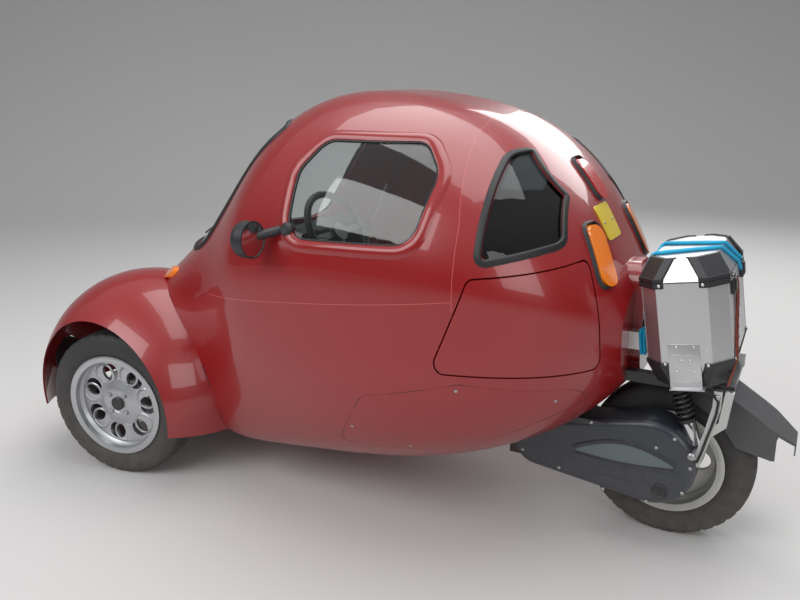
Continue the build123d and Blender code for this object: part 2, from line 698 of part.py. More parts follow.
with BuildPart() as engine:
    add(block(ENGINE_FRONT, ENGINE_BACK, COVER_INNER_Y, ARM_OUTER_Y, ENGINE_BOTTOM, ENGINE_TOP))
    add(hull, mode=Mode.SUBTRACT)
save(engine.part, "engine")

with BuildPart() as drive_cover:
    with BuildSketch(Plane.XZ.offset(-COVER_INNER_Y)):
        with BuildLine():
            nose = (behind(COVER_NOSE[0]), COVER_NOSE[1])
            tail = (behind(COVER_TAIL[0]), COVER_TAIL[1])
            span = math.dist(nose, tail)
            tilt = math.atan2(tail[1] - nose[1], tail[0] - nose[0])
            flare = math.asin((COVER_TAIL[2] - COVER_NOSE[2]) / span)
            ends = []
            for hand in (1, -1):
                normal = tilt + hand * (math.pi / 2 + flare)
                way = (math.cos(normal), math.sin(normal))
                ends.append(((nose[0] + COVER_NOSE[2] * way[0], nose[1] + COVER_NOSE[2] * way[1]),
                             (tail[0] + COVER_TAIL[2] * way[0], tail[1] + COVER_TAIL[2] * way[1])))
            Line(*ends[0])
            Line(*ends[1])
            ThreePointArc(ends[0][0], (nose[0] - COVER_NOSE[2] * math.cos(tilt),
                                       nose[1] - COVER_NOSE[2] * math.sin(tilt)), ends[1][0])
            ThreePointArc(ends[0][1], (tail[0] + COVER_TAIL[2] * math.cos(tilt),
                                       tail[1] + COVER_TAIL[2] * math.sin(tilt)), ends[1][1])
        make_face()
    extrude(amount=COVER_INNER_Y - COVER_OUTER_Y)
    fillet(drive_cover.faces().sort_by(Axis.Y)[0].edges(), 26)
    add(cross_bar(LUG_BEHIND, LUG_Z, LUG_RADIUS, -SHOCK_Y - 22, -SHOCK_Y + 22))
    add(hull, mode=Mode.SUBTRACT)
save(drive_cover.part, "drive_cover")

with BuildPart() as swing_arm:
    with BuildSketch(Plane.XZ.offset(-ARM_INNER_Y)):
        with BuildLine():
            Polyline((behind(ENGINE_BACK), 240), (behind(ENGINE_BACK), 340), (behind(1975), 330),
                     (behind(LUG_BEHIND), LUG_Z + 18), (behind(LUG_BEHIND + 20), LUG_Z - 10),
                     (behind(2000), 240), (behind(1950), 235), close=True)
        make_face()
    extrude(amount=-(ARM_OUTER_Y - ARM_INNER_Y))
    add(cross_bar(LUG_BEHIND, LUG_Z, LUG_RADIUS, ARM_INNER_Y, SHOCK_Y + 22))
    add(cross_bar(REAR_AXLE, REAR_HUB_Z, REAR_AXLE_RADIUS, COVER_INNER_Y, ARM_OUTER_Y))
save(swing_arm.part, "swing_arm")

# Rear mudguard: a sheet over the tyre with skirts down its sides, hung from the rear frame's last cross bar
MUDGUARD_TOP = [(2014, 562), (2120, 552), (2230, 480), (TAIL_REACH, 408)]
MUDGUARD_LOW = [(TAIL_REACH, 370), (2277, 353), (2166, 376), (2110, 455), (2014, 515)]
MUDGUARD_TIP = [(2000, 88), (2265, 88), (TAIL_REACH, 48)]
MUDGUARD_HALF = 88
MUDGUARD_SKIN = 7
MUDGUARD_LEAN = 4

with BuildPart() as rear_mudguard:
    with BuildSketch(Plane.XZ):
        with BuildLine():
            outside = [(behind(distance), z) for distance, z in MUDGUARD_TOP]
            underside = [(behind(distance), z) for distance, z in MUDGUARD_LOW]
            Polyline(*outside, *underside, close=True)
        make_face()
    extrude(amount=MUDGUARD_HALF, both=True)
    with BuildSketch(Plane.XZ):
        with BuildLine():
            inside = [(x - MUDGUARD_LEAN, z - MUDGUARD_SKIN) for x, z in outside]
            Polyline((inside[0][0], 0), *inside, (inside[-1][0], 0), close=True)
        make_face()
    extrude(amount=MUDGUARD_HALF - MUDGUARD_SKIN, both=True, mode=Mode.SUBTRACT)
    with BuildSketch(Plane.XY):
        with BuildLine():
            near_side = [(behind(distance), -y) for distance, y in MUDGUARD_TIP]
            far_side = [(behind(distance), y) for distance, y in reversed(MUDGUARD_TIP)]
            Polyline(*near_side, *far_side, close=True)
        make_face()
    extrude(amount=REACH, mode=Mode.INTERSECT)
save(rear_mudguard.part, "rear_mudguard")

# Pannier: two trays with eight sides, leaning towards the car; levels are (height from the seam, inset)
PANNIER_SEAM = (1865, 910)
PANNIER_LEAN_DEG = 8.6
PANNIER_DEPTH = 242
PANNIER_WIDTH = 430
PANNIER_MIDDLE_Y = -25
PANNIER_CORNER = 50
PANNIER_WALL = 4
PANNIER_TRAYS = {
    "pannier_box": [(-319, 22), (-252, 0), (-SEAT_CLEARANCE, 0)],
    "pannier_lid": [(0, 0), (62, 30)],
}
pannier_lean = math.radians(PANNIER_LEAN_DEG)
pannier_base = Plane(
    origin=(behind(PANNIER_SEAM[0]), PANNIER_MIDDLE_Y, PANNIER_SEAM[1]),
    x_dir=(math.cos(pannier_lean), 0, math.sin(pannier_lean)),
    z_dir=(-math.sin(pannier_lean), 0, math.cos(pannier_lean)),
)


def pannier_form(levels, inset=0):
    """The solid form between levels of the pannier, drawn in by an inset."""
    with BuildPart() as form:
        for lower, upper in zip(levels, levels[1:]):
            for height, draw in (lower, upper):
                with BuildSketch(pannier_base.offset(height)):
                    with Locations((PANNIER_DEPTH / 2, 0)):
                        shrink = 2 * (draw + inset)
                        side = Rectangle(PANNIER_DEPTH - shrink, PANNIER_WIDTH - shrink)
                    chamfer(side.vertices(), PANNIER_CORNER)
            loft()
    return form.part


pannier_block = pannier_form(PANNIER_TRAYS["pannier_box"])

# Rear frame rails carry the shock absorbers and the pannier
RAIL_HALF = 17
RAIL_TOP = 604
RAIL_FRONT = 1700
RAIL_BACK = 2150
RAIL_BAR = 40
HANGER = (2080, 2120, 550)

with BuildPart() as rear_frame:
    for hand in SIDES.values():
        low, high = sorted((hand * (SHOCK_Y - RAIL_HALF), hand * (SHOCK_Y + RAIL_HALF)))
        add(block(RAIL_FRONT, RAIL_BACK, low, high, RAIL_TOP - 2 * RAIL_HALF, RAIL_TOP))
    add(block(REAR_AXLE, REAR_AXLE + RAIL_BAR, -SHOCK_Y, SHOCK_Y, RAIL_TOP - RAIL_BAR / 2, RAIL_TOP))
    add(block(RAIL_BACK - RAIL_BAR, RAIL_BACK, -SHOCK_Y, SHOCK_Y, RAIL_TOP - RAIL_BAR / 2, RAIL_TOP))
    add(block(HANGER[0], HANGER[1], -MUDGUARD_HALF / 2, MUDGUARD_HALF / 2, HANGER[2], RAIL_TOP))
    for part in (hull, tail_hump.part, rear_mudguard.part, pannier_block):
        add(part, mode=Mode.SUBTRACT)
save(rear_frame.part, "rear_frame")

SPRING_FOOT = 0.4
SPRING_SHARE = 0.5
with BuildPart() as shocks:
    for hand in SIDES.values():
        top = Vector(behind(SHOCK_TOP[0]), hand * SHOCK_Y, SHOCK_TOP[1])
        foot = Vector(behind(LUG_BEHIND), hand * SHOCK_Y, LUG_Z)
        strut = top - foot
        with BuildSketch(Plane(origin=foot, z_dir=strut)):
            Circle(SHOCK_BODY_RADIUS)
        extrude(amount=strut.length + 20)
        with BuildSketch(Plane(origin=foot + strut * SPRING_FOOT, z_dir=strut)):
            Circle(SPRING_RADIUS)
        extrude(amount=strut.length * SPRING_SHARE)
    for part in (drive_cover.part, swing_arm.part, rear_frame.part):
        add(part, mode=Mode.SUBTRACT)
    add(block(RAIL_FRONT, 2300, -REACH, REACH, RAIL_TOP - 2 * RAIL_HALF, REACH), mode=Mode.SUBTRACT)
save(shocks.part, "shocks")

# Silver bracket from the drive cover's lug up to the left rail, forked into two prongs
BRACKET_PRONGS = [
    [(2063, 335), (2091, 449), (2108, 538), (2109, 592)],
    [(2091, 449), (2129, 486), (2140, 592)],
]
BRACKET_HALF = 12
BRACKET_FOOT = 22
BRACKET_Y = -172

with BuildPart() as rear_bracket:
    for prong in BRACKET_PRONGS:
        with BuildSketch(Plane.XZ.offset(-BRACKET_Y - BRACKET_HALF)):
            with BuildLine():
                Polyline(*[(behind(distance), z) for distance, z in prong])
            trace(line_width=2 * BRACKET_HALF)
        extrude(amount=2 * BRACKET_HALF)
    foot_low = BRACKET_Y - BRACKET_HALF
    foot_high = BRACKET_Y + BRACKET_HALF
    add(cross_bar(LUG_BEHIND + 6, LUG_Z - 10, BRACKET_FOOT, foot_low, foot_high))
    for part in (drive_cover.part, shocks.part, rear_frame.part):
        add(part, mode=Mode.SUBTRACT)
save(rear_bracket.part, "rear_bracket")

# Silencer
SILENCER_RADIUS = 52
SILENCER_Y = 232
silencer_front = Vector(behind(1780), SILENCER_Y, 240)
silencer_back = Vector(behind(2190), SILENCER_Y, 340)
with BuildPart() as silencer:
    with BuildSketch(Plane(origin=silencer_front, z_dir=silencer_back - silencer_front)):
        Circle(SILENCER_RADIUS)
    extrude(amount=(silencer_back - silencer_front).length)
    add(block(1960, 2000, ARM_OUTER_Y, SILENCER_Y - 20, 255, 295))
    with BuildSketch(Plane(origin=silencer_front, z_dir=Vector(behind(1560), 100, 215) - silencer_front)):
        Circle(17)
    extrude(amount=math.dist((1780, SILENCER_Y), (1560, 100)))
    add(engine.part, mode=Mode.SUBTRACT)
save(silencer.part, "silencer")

# Luggage arms, joined by a plate that bears on the pannier's leaning front
ARM_LOW = 670
ARM_HIGH = 727
ARM_PLATE = (1878, 137)
LUGGAGE_ARM_Y = 115
LUGGAGE_ARM_HALF = 22

with BuildPart() as luggage_arms:
    for hand in SIDES.values():
        middle = hand * LUGGAGE_ARM_Y
        add(block(1700, 1940, middle - LUGGAGE_ARM_HALF, middle + LUGGAGE_ARM_HALF, ARM_LOW, ARM_HIGH))
    add(block(ARM_PLATE[0], 1940, -ARM_PLATE[1], ARM_PLATE[1], ARM_LOW, ARM_HIGH))
    for part in (hull, tail_hump.part, pannier_block):
        add(part, mode=Mode.SUBTRACT)
save(luggage_arms.part, "luggage_arms")

for label, levels in PANNIER_TRAYS.items():
    hollow = list(levels)
    if label == "pannier_box":
        hollow[0] = (levels[0][0] + PANNIER_WALL, levels[0][1])
    else:
        hollow[-1] = (levels[-1][0] - PANNIER_WALL, levels[-1][1])
    with BuildPart() as tray:
        add(pannier_form(levels))
        add(pannier_form(hollow, PANNIER_WALL), mode=Mode.SUBTRACT)
    save(tray.part, label)
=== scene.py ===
"""Studio dress of a three-wheeled car: paint, glass, rubber, wheels, lamps, drive, cab and pannier.

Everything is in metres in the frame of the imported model: the nose points to -X and the driver's left is -Y.
"""
import json
import math

import bmesh
import bpy
from mathutils import Matrix, Quaternion, Vector
from mathutils.bvhtree import BVHTree


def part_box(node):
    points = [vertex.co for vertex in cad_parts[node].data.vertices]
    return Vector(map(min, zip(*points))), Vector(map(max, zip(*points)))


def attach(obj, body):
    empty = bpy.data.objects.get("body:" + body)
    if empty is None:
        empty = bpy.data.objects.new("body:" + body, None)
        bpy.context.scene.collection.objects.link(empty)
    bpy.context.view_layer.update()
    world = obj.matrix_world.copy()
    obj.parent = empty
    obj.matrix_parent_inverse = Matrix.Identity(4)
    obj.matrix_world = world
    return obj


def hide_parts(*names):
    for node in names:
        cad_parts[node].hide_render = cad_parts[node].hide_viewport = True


bl_info = {
    "name": "Three-wheeled Car Dress",
    "version": (1, 0, 0),
    "blender": (4, 5, 0),
    "location": "View3D > Sidebar > Car",
    "description": "Dresses the packed three-wheeled car with paint, trim, wheels, lamps and luggage",
    "category": "Object",
}

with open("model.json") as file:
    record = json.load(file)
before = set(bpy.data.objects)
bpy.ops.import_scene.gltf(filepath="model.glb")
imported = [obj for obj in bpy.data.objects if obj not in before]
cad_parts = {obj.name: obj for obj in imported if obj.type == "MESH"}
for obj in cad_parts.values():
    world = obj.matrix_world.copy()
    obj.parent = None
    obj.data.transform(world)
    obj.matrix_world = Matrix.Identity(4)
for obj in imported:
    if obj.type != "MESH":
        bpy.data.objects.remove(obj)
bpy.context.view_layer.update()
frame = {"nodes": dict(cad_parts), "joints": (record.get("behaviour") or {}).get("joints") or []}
NODES = frame["nodes"]
JOINTS = {joint["name"]: joint for joint in frame["joints"]}
SIDES = {"left": -1, "right": 1}
FRONT_AXLE = -60
DATUM_X = JOINTS["steer_left"]["pos_m"][0] - FRONT_AXLE / 1000


def place(distance, y, z):
    """A point from millimetres behind the datum line, to the right and up."""
    return Vector((DATUM_X + distance / 1000, y / 1000, z / 1000))


# Outlines seen from the side are (distance behind the datum line, height), from the ends (y, height)
SIDE_WINDOW = [(865, 1035), (1310, 1045), (1345, 1240), (1270, 1325), (930, 1330), (860, 1240)]
QUARTER_WINDOW = [(1500, 1010), (1675, 1045), (1640, 1160), (1525, 1285), (1492, 1280)]
WINDSCREEN = [(-400, 905), (400, 905), (335, 1362), (-335, 1362)]
SIDE_PANEL = [(990, 345), (1300, 355), (1500, 420), (1760, 560), (1740, 610), (1450, 645), (1130, 560)]
REAR_INDICATOR = [(215, 900), (300, 900), (257, 1072), (172, 1072)]
TAIL_LAMP = [(-65, 1125), (25, 1125), (38, 1245), (-52, 1245)]
SEAM_LINE = [(440, 783), (800, 824), (1130, 861), (1432, 895), (1432, 1100)]
# Above its knee the roof seam leans forward by this much for its height
SEAM_KNEE = SEAM_LINE[-1]
SEAM_LEAN = 97 / 500
# Radii of the outlines' corners in millimetres
QUARTER_CORNER = 16
SIDE_WINDOW_CORNER = 75
SCREEN_CORNER = 60
PANEL_CORNER = 25
LAMP_CORNER = 32
# A wing's crown as (y, reach from the hub), and the height of the hub
WING_PROFILE = [(200, 458), (530, 446), (655, 352)]
HUB_HEIGHT = 295
# A tyre's radius, half width and rim radius
FRONT_TYRE = (295, 87.5, 190)
REAR_TYRE = (270, 70, 165)
# The rims' holes, bolts, valve and rear studs, with the radii of their circles in metres
RIM_HOLES = 7
HOLE_CIRCLE = 0.128
WHEEL_BOLTS = 4
BOLT_CIRCLE = 0.049
VALVE_CIRCLE = 0.165
REAR_STUDS = 5
STUD_CIRCLE = 0.05
# How far the headlamps stand out of their solids in metres, so that the wings leave their rims clear
LAMP_PROUD = 0.024
# A shock absorber's coil and the steps along it
SPRING_TURNS = 6
SPRING_STEPS = 150
# The drive cover's dark eye from end to end, its blank badge, plug and screws as (distance, height)
COVER_EYE = ((1694, 316), (2003, 322))
COVER_BADGE = [(1775, 246), (1915, 243), (1916, 269), (1776, 272)]
COVER_PLUG = (1969, 231)
COVER_SCREWS = [(1505, 330), (1510, 270), (1640, 232), (1790, 190), (1930, 182), (2035, 240), (2052, 330),
                (2000, 418), (1948, 377), (1740, 420)]
# The cable along the rear bracket, and the bracket's bolts with their radius and height in metres
CABLE_ROUTE = [(2035, -178, 598), (2085, -186, 592), (2112, -189, 560), (2109, -189, 520), (2098, -189, 470),
               (2088, -189, 430), (2078, -188, 385), (2068, -187, 350)]
BRACKET_BOLTS = (((2052, -200, 372), 0.013, 0.008), ((2108, -184, 572), 0.009, 0.006))
# The pannier: the middle of its front edge at the lid's seam, its lean, its plan in millimetres, and the
# height from which its sides draw in by 22 mm over 67 mm
BOX_SEAM = place(1865, -25, 910)
BOX_LEAN = math.radians(8.6)
BOX_U = Vector((math.cos(BOX_LEAN), 0, math.sin(BOX_LEAN)))
BOX_W = Vector((-math.sin(BOX_LEAN), 0, math.cos(BOX_LEAN)))
BOX_DEPTH = 242
BOX_HALF = 215
BOX_CORNER = 50
BOX_BELLY = -252
# Places on both sides as (distance, |y|, height), or (distance, height) on the skin
MIRROR = (745, 690, 1040)
MIRROR_ARM = (775, 678, 1040)
MIRROR_FOOT = (865, 560, 1065)
MIRROR_BOSS = (866, 1062)
SHOCK_FOOT = (2052, 142, 386)
SHOCK_TOP = (1985, 142, 584)
PANEL_SCREWS = [(1440, 622), (1070, 430), (1690, 575), (1250, 372)]
# The number plate's screws as shares of its width
PLATE_SCREWS = (0.16, 0.84)
# The silencer's ends
SILENCER_START = (1780, 232, 240)
SILENCER_END = (2190, 232, 340)
# Opposite corners of the seat's cushion, back and base
SEAT_CUSHION = ((805, -235, 395), (1245, 235, 478))
SEAT_BACK = ((1232, -232, 430), (1330, 232, 1000))
SEAT_BASE = ((810, -225, 300), (1320, 225, 400))
# The middles of the dials' faces
DIALS = [(472, y, 868) for y in (-80, 20, 95)]
# The floor in metres: its near edge, where it bends up, the bend's radius, half its width and its turn
FLOOR_NEAR = -9
FLOOR_BEND = 6
FLOOR_RADIUS = 3
FLOOR_HALF = 14
FLOOR_TURN = math.radians(30)
# Soft boxes: place in metres, width, height and power in watts
LIGHTS = {
    "key": ((-1.5, -4.5, 4.2), 4.5, 3.0, 150),
    "fill": ((4.5, -3.5, 2.6), 3.0, 2.5, 60),
    "top": ((0.3, 0.4, 4.6), 5.0, 3.0, 120),
    "rim": ((1.0, 4.6, 3.4), 4.0, 2.0, 90),
}
LIGHTS_AIM = Vector((0.1, 0, 0.7))
# The sky's colours by height, and its strength
SKY = ((0.05, (0.1, 0.1, 0.1, 1)), (0.75, (0.95, 0.97, 1.0, 1)))
SKY_STRENGTH = 0.55
# The camera's place in metres, the way it looks and how its horizon tilts
CAMERA_SPOT = (1.425, -2.437, 1.491)
CAMERA_AHEAD = (-0.475, 0.835, -0.277)
CAMERA_TILT = -0.0215


def sided(spot, hand):
    """A point on the left (-1) or the right (1)."""
    return place(spot[0], hand * spot[1], spot[2])


def colour_setting(name, description, default):
    """A colour that can be set in the panel."""
    return bpy.props.FloatVectorProperty(name=name, description=description, subtype="COLOR", size=3,
                                         min=0, max=1, default=default)


def length_setting(name, description, default, low, high):
    """A length that can be set in the panel."""
    return bpy.props.FloatProperty(name=name, description=description, subtype="DISTANCE", unit="LENGTH",
                                   default=default, min=low, max=high)


class CarColours(bpy.types.PropertyGroup):
    """Colours of the car."""

    paint: colour_setting("Paint", "Colour of the moulded body", (0.265, 0.006, 0.008))
    cover: colour_setting("Drive cover", "Colour of the drive's plastic cover", (0.016, 0.023, 0.034))
    strap: colour_setting("Straps", "Colour of the elastic luggage straps", (0.0, 0.32, 0.55))
    floor: colour_setting("Floor", "Colour of the studio floor", (0.62, 0.61, 0.6))


class CarSizes(bpy.types.PropertyGroup):
    """Sizes of the dress and of the studio."""

    gasket_width: length_setting(
        "Gasket width", "Width of the rubber round the quarter windows", 0.018, 0.006, 0.04)
    seam_width: length_setting("Seam width", "Width of the hairline seams in the body", 0.0026, 0.0005, 0.01)
    tread_depth: length_setting("Tread depth", "Depth of the grooves in the tyres", 0.006, 0.001, 0.01)
    dust: bpy.props.FloatProperty(
        name="Road dust", description="How much dust lies on the low parts", subtype="FACTOR", default=0.35,
        min=0, max=1)
    lens: bpy.props.FloatProperty(
        name="Lens", description="Focal length of the camera", subtype="DISTANCE_CAMERA", default=33.75,
        min=10, max=200)


# Shader node groups


def new_group(name, inputs, outputs):
    """A shader node group, the sockets that it gives inside and its output node."""
    group = bpy.data.node_groups.new(name, "ShaderNodeTree")
    for label, kind, value in inputs:
        socket = group.interface.new_socket(label, in_out="INPUT", socket_type=kind)
        socket.default_value = value
    for label, kind in outputs:
        group.interface.new_socket(label, in_out="OUTPUT", socket_type=kind)
    return group, group.nodes.new("NodeGroupInput").outputs, group.nodes.new("NodeGroupOutput")


def fill_sockets(tree, node, sockets):
    """Link each socket to its source, or set it to its value."""
    for name, source in sockets.items():
        if isinstance(source, bpy.types.NodeSocket):
            tree.links.new(source, node.inputs[name])
        else:
            node.inputs[name].default_value = source


def add_node(tree, kind, sockets, **settings):
    """A shader node with its settings, links and values."""
    node = tree.nodes.new("ShaderNode" + kind)
    for name, value in settings.items():
        setattr(node, name, value)
    fill_sockets(tree, node, sockets)
    return node


def grain_group():
    """Fine surface relief and slow colour variation."""
    group, entry, out = new_group(
        "Surface grain",
        [("Scale", "NodeSocketFloat", 200.0), ("Stretch", "NodeSocketVector", (1.0, 1.0, 1.0)),
         ("Colour", "NodeSocketColor", (0.5, 0.5, 0.5, 1)), ("Variation", "NodeSocketFloat", 0.1)],
        [("Height", "NodeSocketFloat"), ("Colour", "NodeSocketColor")])
    coords = add_node(group, "TexCoord", {}).outputs["Object"]
    stretched = add_node(group, "VectorMath", {0: coords, 1: entry["Stretch"]}, operation="MULTIPLY")
    fine = add_node(group, "TexNoise", {"Vector": stretched.outputs[0], "Scale": entry["Scale"], "Detail": 3})
    broad = add_node(group, "TexNoise", {"Vector": coords, "Scale": 3.5, "Detail": 4})
    centred = add_node(group, "Math", {0: broad.outputs["Fac"], 1: entry["Variation"], 2: 1.0},
                       operation="MULTIPLY_ADD")
    tone = add_node(group, "VectorMath", {0: entry["Colour"], "Scale": centred.outputs[0]}, operation="SCALE")
    fill_sockets(group, out, {"Height": fine.outputs["Fac"], "Colour": tone.outputs[0]})


def dust_group():
    """Pale road dust that thins out with height."""
    group, entry, out = new_group(
        "Road dust",
        [("Colour", "NodeSocketColor", (0.5, 0.5, 0.5, 1)),
         ("Dust", "NodeSocketColor", (0.22, 0.19, 0.16, 1)),
         ("Roughness", "NodeSocketFloat", 0.4), ("Amount", "NodeSocketFloat", 0.3),
         ("Top", "NodeSocketFloat", 0.6)],
        [("Colour", "NodeSocketColor"), ("Roughness", "NodeSocketFloat")])
    coords = add_node(group, "TexCoord", {}).outputs["Object"]
    height = add_node(group, "SeparateXYZ", {0: coords}).outputs["Z"]
    fade = add_node(group, "MapRange", {"Value": height, "From Max": entry["Top"], "To Min": 1, "To Max": 0})
    specks = add_node(group, "TexNoise", {"Vector": coords, "Scale": 28, "Detail": 6})
    mask = fade.outputs["Result"]
    for factor in (specks.outputs["Fac"], entry["Amount"]):
        mask = add_node(group, "Math", {0: mask, 1: factor}, operation="MULTIPLY").outputs[0]
    mixed = add_node(group, "Mix", {0: mask, 6: entry["Colour"], 7: entry["Dust"]}, data_type="RGBA")
    rough = add_node(group, "Math", {0: entry["Roughness"], 1: mask}, operation="ADD", use_clamp=True)
    fill_sockets(group, out, {"Colour": mixed.outputs[2], "Roughness": rough.outputs[0]})


# Finishes: record slot, colour, roughness, metallic, coat, grain scale, bump depth, variation and dust
FINISHES = {
    "body paint": ("red_paint", "paint", 0.32, 0, 0.7, 9, 0.00035, 0.1, 0.2),
    # A near-black line round the side panels: painted shade standing in for the shade in their gaps
    "seam painted shade": ("red_paint", (0.02, 0.004, 0.004), 0.5, 0, 0, 60, 0.0, 0.1, 0),
    # A pale pink line along the door and roof seam: a painted highlight on the seam's edge
    "seam painted highlight": ("red_paint", (0.5, 0.09, 0.09), 0.3, 0, 0.5, 60, 0.0, 0.1, 0),
    "black rubber": ("rubber_black", (0.012, 0.012, 0.013), 0.5, 0, 0, 300, 0.0002, 0.3, 0.4),
    "tyre rubber": ("tyre_black", (0.022, 0.022, 0.024), 0.62, 0, 0, 260, 0.0004, 0.5, 0.9),
    "wheel alloy": ("rim_alloy", (0.48, 0.49, 0.51), 0.33, 0.85, 0.2, 400, 0.00006, 0.12, 0.25),
    "rear rim paint": ("rim_alloy", (0.5, 0.5, 0.47), 0.42, 0.3, 0, 300, 0.0001, 0.15, 0.5),
    "box sheet": ("box_aluminium", (0.56, 0.56, 0.57), 0.36, 0.9, 0, 120, 0.00008, 0.16, 0.1),
    "cast silver": ("cast_silver", (0.5, 0.5, 0.49), 0.42, 0.8, 0, 220, 0.0004, 0.3, 0.4),
    "bright chrome": ("chrome", (0.62, 0.62, 0.63), 0.12, 1, 0, 200, 0.00003, 0.1, 0.15),
    "turned steel": ("steel_bright", (0.4, 0.4, 0.41), 0.3, 1, 0, 260, 0.0001, 0.2, 0.3),
    "black steel": ("steel_black", (0.018, 0.018, 0.02), 0.38, 0.2, 0.2, 180, 0.0002, 0.3, 0.6),
    "cover plastic": ("cover_blue_grey", "cover", 0.34, 0, 0.25, 420, 0.00015, 0.25, 0.55),
    "cover eye": ("cover_blue_grey", (0.1, 0.13, 0.14), 0.33, 0.1, 0.3, 420, 0.0001, 0.15, 0.3),
    "black plastic": ("plastic_black", (0.018, 0.018, 0.021), 0.42, 0, 0, 380, 0.00025, 0.25, 0.3),
    "grey plastic": ("plastic_grey", (0.055, 0.056, 0.062), 0.55, 0, 0, 300, 0.0003, 0.3, 0.9),
    "well liner": ("plastic_black", (0.01, 0.01, 0.01), 0.8, 0, 0, 120, 0.0006, 0.4, 0.8),
    "amber lens": ("lamp_amber", (0.85, 0.2, 0.008), 0.12, 0, 0.8, 60, 0.0006, 0.15, 0.05),
    "red lens": ("lamp_red", (0.45, 0.006, 0.008), 0.12, 0, 0.8, 60, 0.0006, 0.15, 0.05),
    "plate yellow": ("plate_yellow", (0.68, 0.5, 0.03), 0.25, 0, 0.3, 500, 0.00005, 0.08, 0.1),
    "seat cloth": ("seat_cloth", (0.03, 0.03, 0.034), 0.9, 0, 0, 900, 0.0006, 0.3, 0),
    "engine cast": ("engine_metal", (0.09, 0.09, 0.09), 0.6, 0.6, 0, 140, 0.0006, 0.4, 0.8),
    "strap elastic": ("strap_blue", "strap", 0.65, 0, 0, 900, 0.0004, 0.2, 0),
    "cord elastic": ("cord_brown", (0.16, 0.035, 0.02), 0.75, 0, 0, 900, 0.0005, 0.5, 0),
    "dial face": ("plastic_black", (0.3, 0.3, 0.28), 0.3, 0, 0.5, 100, 0.0, 0.1, 0),
}
# Finishes whose grain is drawn out, with its scales along x, y and z
STRETCHED = {
    "box sheet": (1, 14, 1),
    "amber lens": (1, 1, 8),
    "red lens": (1, 1, 8),
    "strap elastic": (1, 1, 4),
    "cord elastic": (1, 1, 4),
}
# Panes: record slot, colour, roughness and index of refraction
GLASSES = {
    "clear glass": ("glass_clear", (0.9, 0.95, 0.94), 0.0, 1.45),
    "tinted glass": ("glass_tinted", (0.12, 0.135, 0.14), 0.0, 1.45),
    "lamp glass": ("lamp_clear", (0.96, 0.97, 0.97), 0.02, 1.45),
}
NODE_FINISHES = {
    "body paint": ["lower_body", "upper_body", "door_right", "hatch_left", "hatch_right", "side_panels",
                   "wing_left", "wing_right", "tail_hump"],
    "well liner": ["wheel_wells", "bulkhead"],
    "clear glass": ["side_window_left", "side_window_right", "windscreen"],
    "tinted glass": ["quarter_windows"],
    "amber lens": ["indicators"],
    "red lens": ["tail_lamp"],
    "plate yellow": ["number_plate"],
    "black plastic": ["mirror_left", "mirror_right", "dashboard", "steering_wheel", "steering_column"],
    "black steel": ["front_axle", "knuckle_left", "knuckle_right", "swing_arm", "rear_frame", "silencer"],
    "turned steel": ["track_rod", "front_disc_left", "front_disc_right"],
    "wheel alloy": ["front_rim_left", "front_rim_right"],
    "rear rim paint": ["rear_rim"],
    "engine cast": ["engine"],
    "cover plastic": ["drive_cover"],
    "cast silver": ["rear_bracket"],
    "grey plastic": ["rear_mudguard"],
    "box sheet": ["pannier_box", "pannier_lid", "luggage_arms"],
}
MADE = {}


def new_material(name):
    """A new material with its node tree and its shader."""
    material = bpy.data.materials.new(name)
    material.use_nodes = True
    tree = material.node_tree
    return material, tree, tree.nodes["Principled BSDF"]


def mix_finish(name):
    """A solid finish: colour variation, fine relief, coat and road dust."""
    _, colour, rough, metal, coat, scale, depth, variation, dust = FINISHES[name]
    scene = bpy.context.scene
    if isinstance(colour, str):
        colour = getattr(scene.car_colours, colour)
    material, tree, shader = new_material(name)
    grain = add_node(tree, "Group", {"Scale": scale, "Stretch": STRETCHED.get(name, (1, 1, 1)),
                                     "Colour": (*colour, 1), "Variation": variation},
                     node_tree=bpy.data.node_groups["Surface grain"])
    dirt = add_node(tree, "Group", {"Colour": grain.outputs["Colour"], "Roughness": rough,
                                    "Amount": dust * scene.car_sizes.dust * 2},
                    node_tree=bpy.data.node_groups["Road dust"])
    fill_sockets(tree, shader, {"Base Color": dirt.outputs["Colour"], "Roughness": dirt.outputs["Roughness"],
                                "Metallic": metal, "Coat Weight": coat, "Coat Roughness": 0.03})
    if depth:
        bump = add_node(tree, "Bump", {"Strength": 0.6, "Distance": depth, "Height": grain.outputs["Height"]})
        fill_sockets(tree, shader, {"Normal": bump.outputs["Normal"]})
    return material


def glass_finish(name):
    """A clear or tinted pane."""
    _, colour, rough, ior = GLASSES[name]
    material, tree, shader = new_material(name)
    fill_sockets(tree, shader, {"Base Color": (*colour, 1), "Roughness": rough, "IOR": ior,
                                "Transmission Weight": 1.0})
    return material


def finish_named(name):
    """The material of a finish, made once."""
    if name not in MADE:
        MADE[name] = glass_finish(name) if name in GLASSES else mix_finish(name)
    return MADE[name]


# Mesh helpers


def mesh_of(name, verts, faces):
    """A mesh from points and faces."""
    mesh = bpy.data.meshes.new(name)
    mesh.from_pydata([tuple(vert) for vert in verts], [], faces)
    return mesh


def added(name, data):
    """A new object in the scene."""
    thing = bpy.data.objects.new(name, data)
    bpy.context.scene.collection.objects.link(thing)
    return thing


def piece(name, forms, finish, body="body", angle=35):
    """A new piece of one or more forms of (verts, faces), which rides on a body."""
    mesh = mesh_of(name, *merged(forms))
    mesh.update()
    made = bmesh.new()
    made.from_mesh(mesh)
    bmesh.ops.recalc_face_normals(made, faces=made.faces)
    made.to_mesh(mesh)
    made.free()
    mesh.shade_smooth()
    mesh.set_sharp_from_angle(angle=math.radians(angle))
    mesh.materials.append(finish_named(finish))
    thing = added(name, mesh)
    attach(thing, body)
    return thing


def merged(forms):
    """One mesh's verts and faces from several."""
    verts, faces = [], []
    for form_verts, form_faces in forms:
        start = len(verts)
        verts += form_verts
        faces += [[start + index for index in face] for face in form_faces]
    return verts, faces


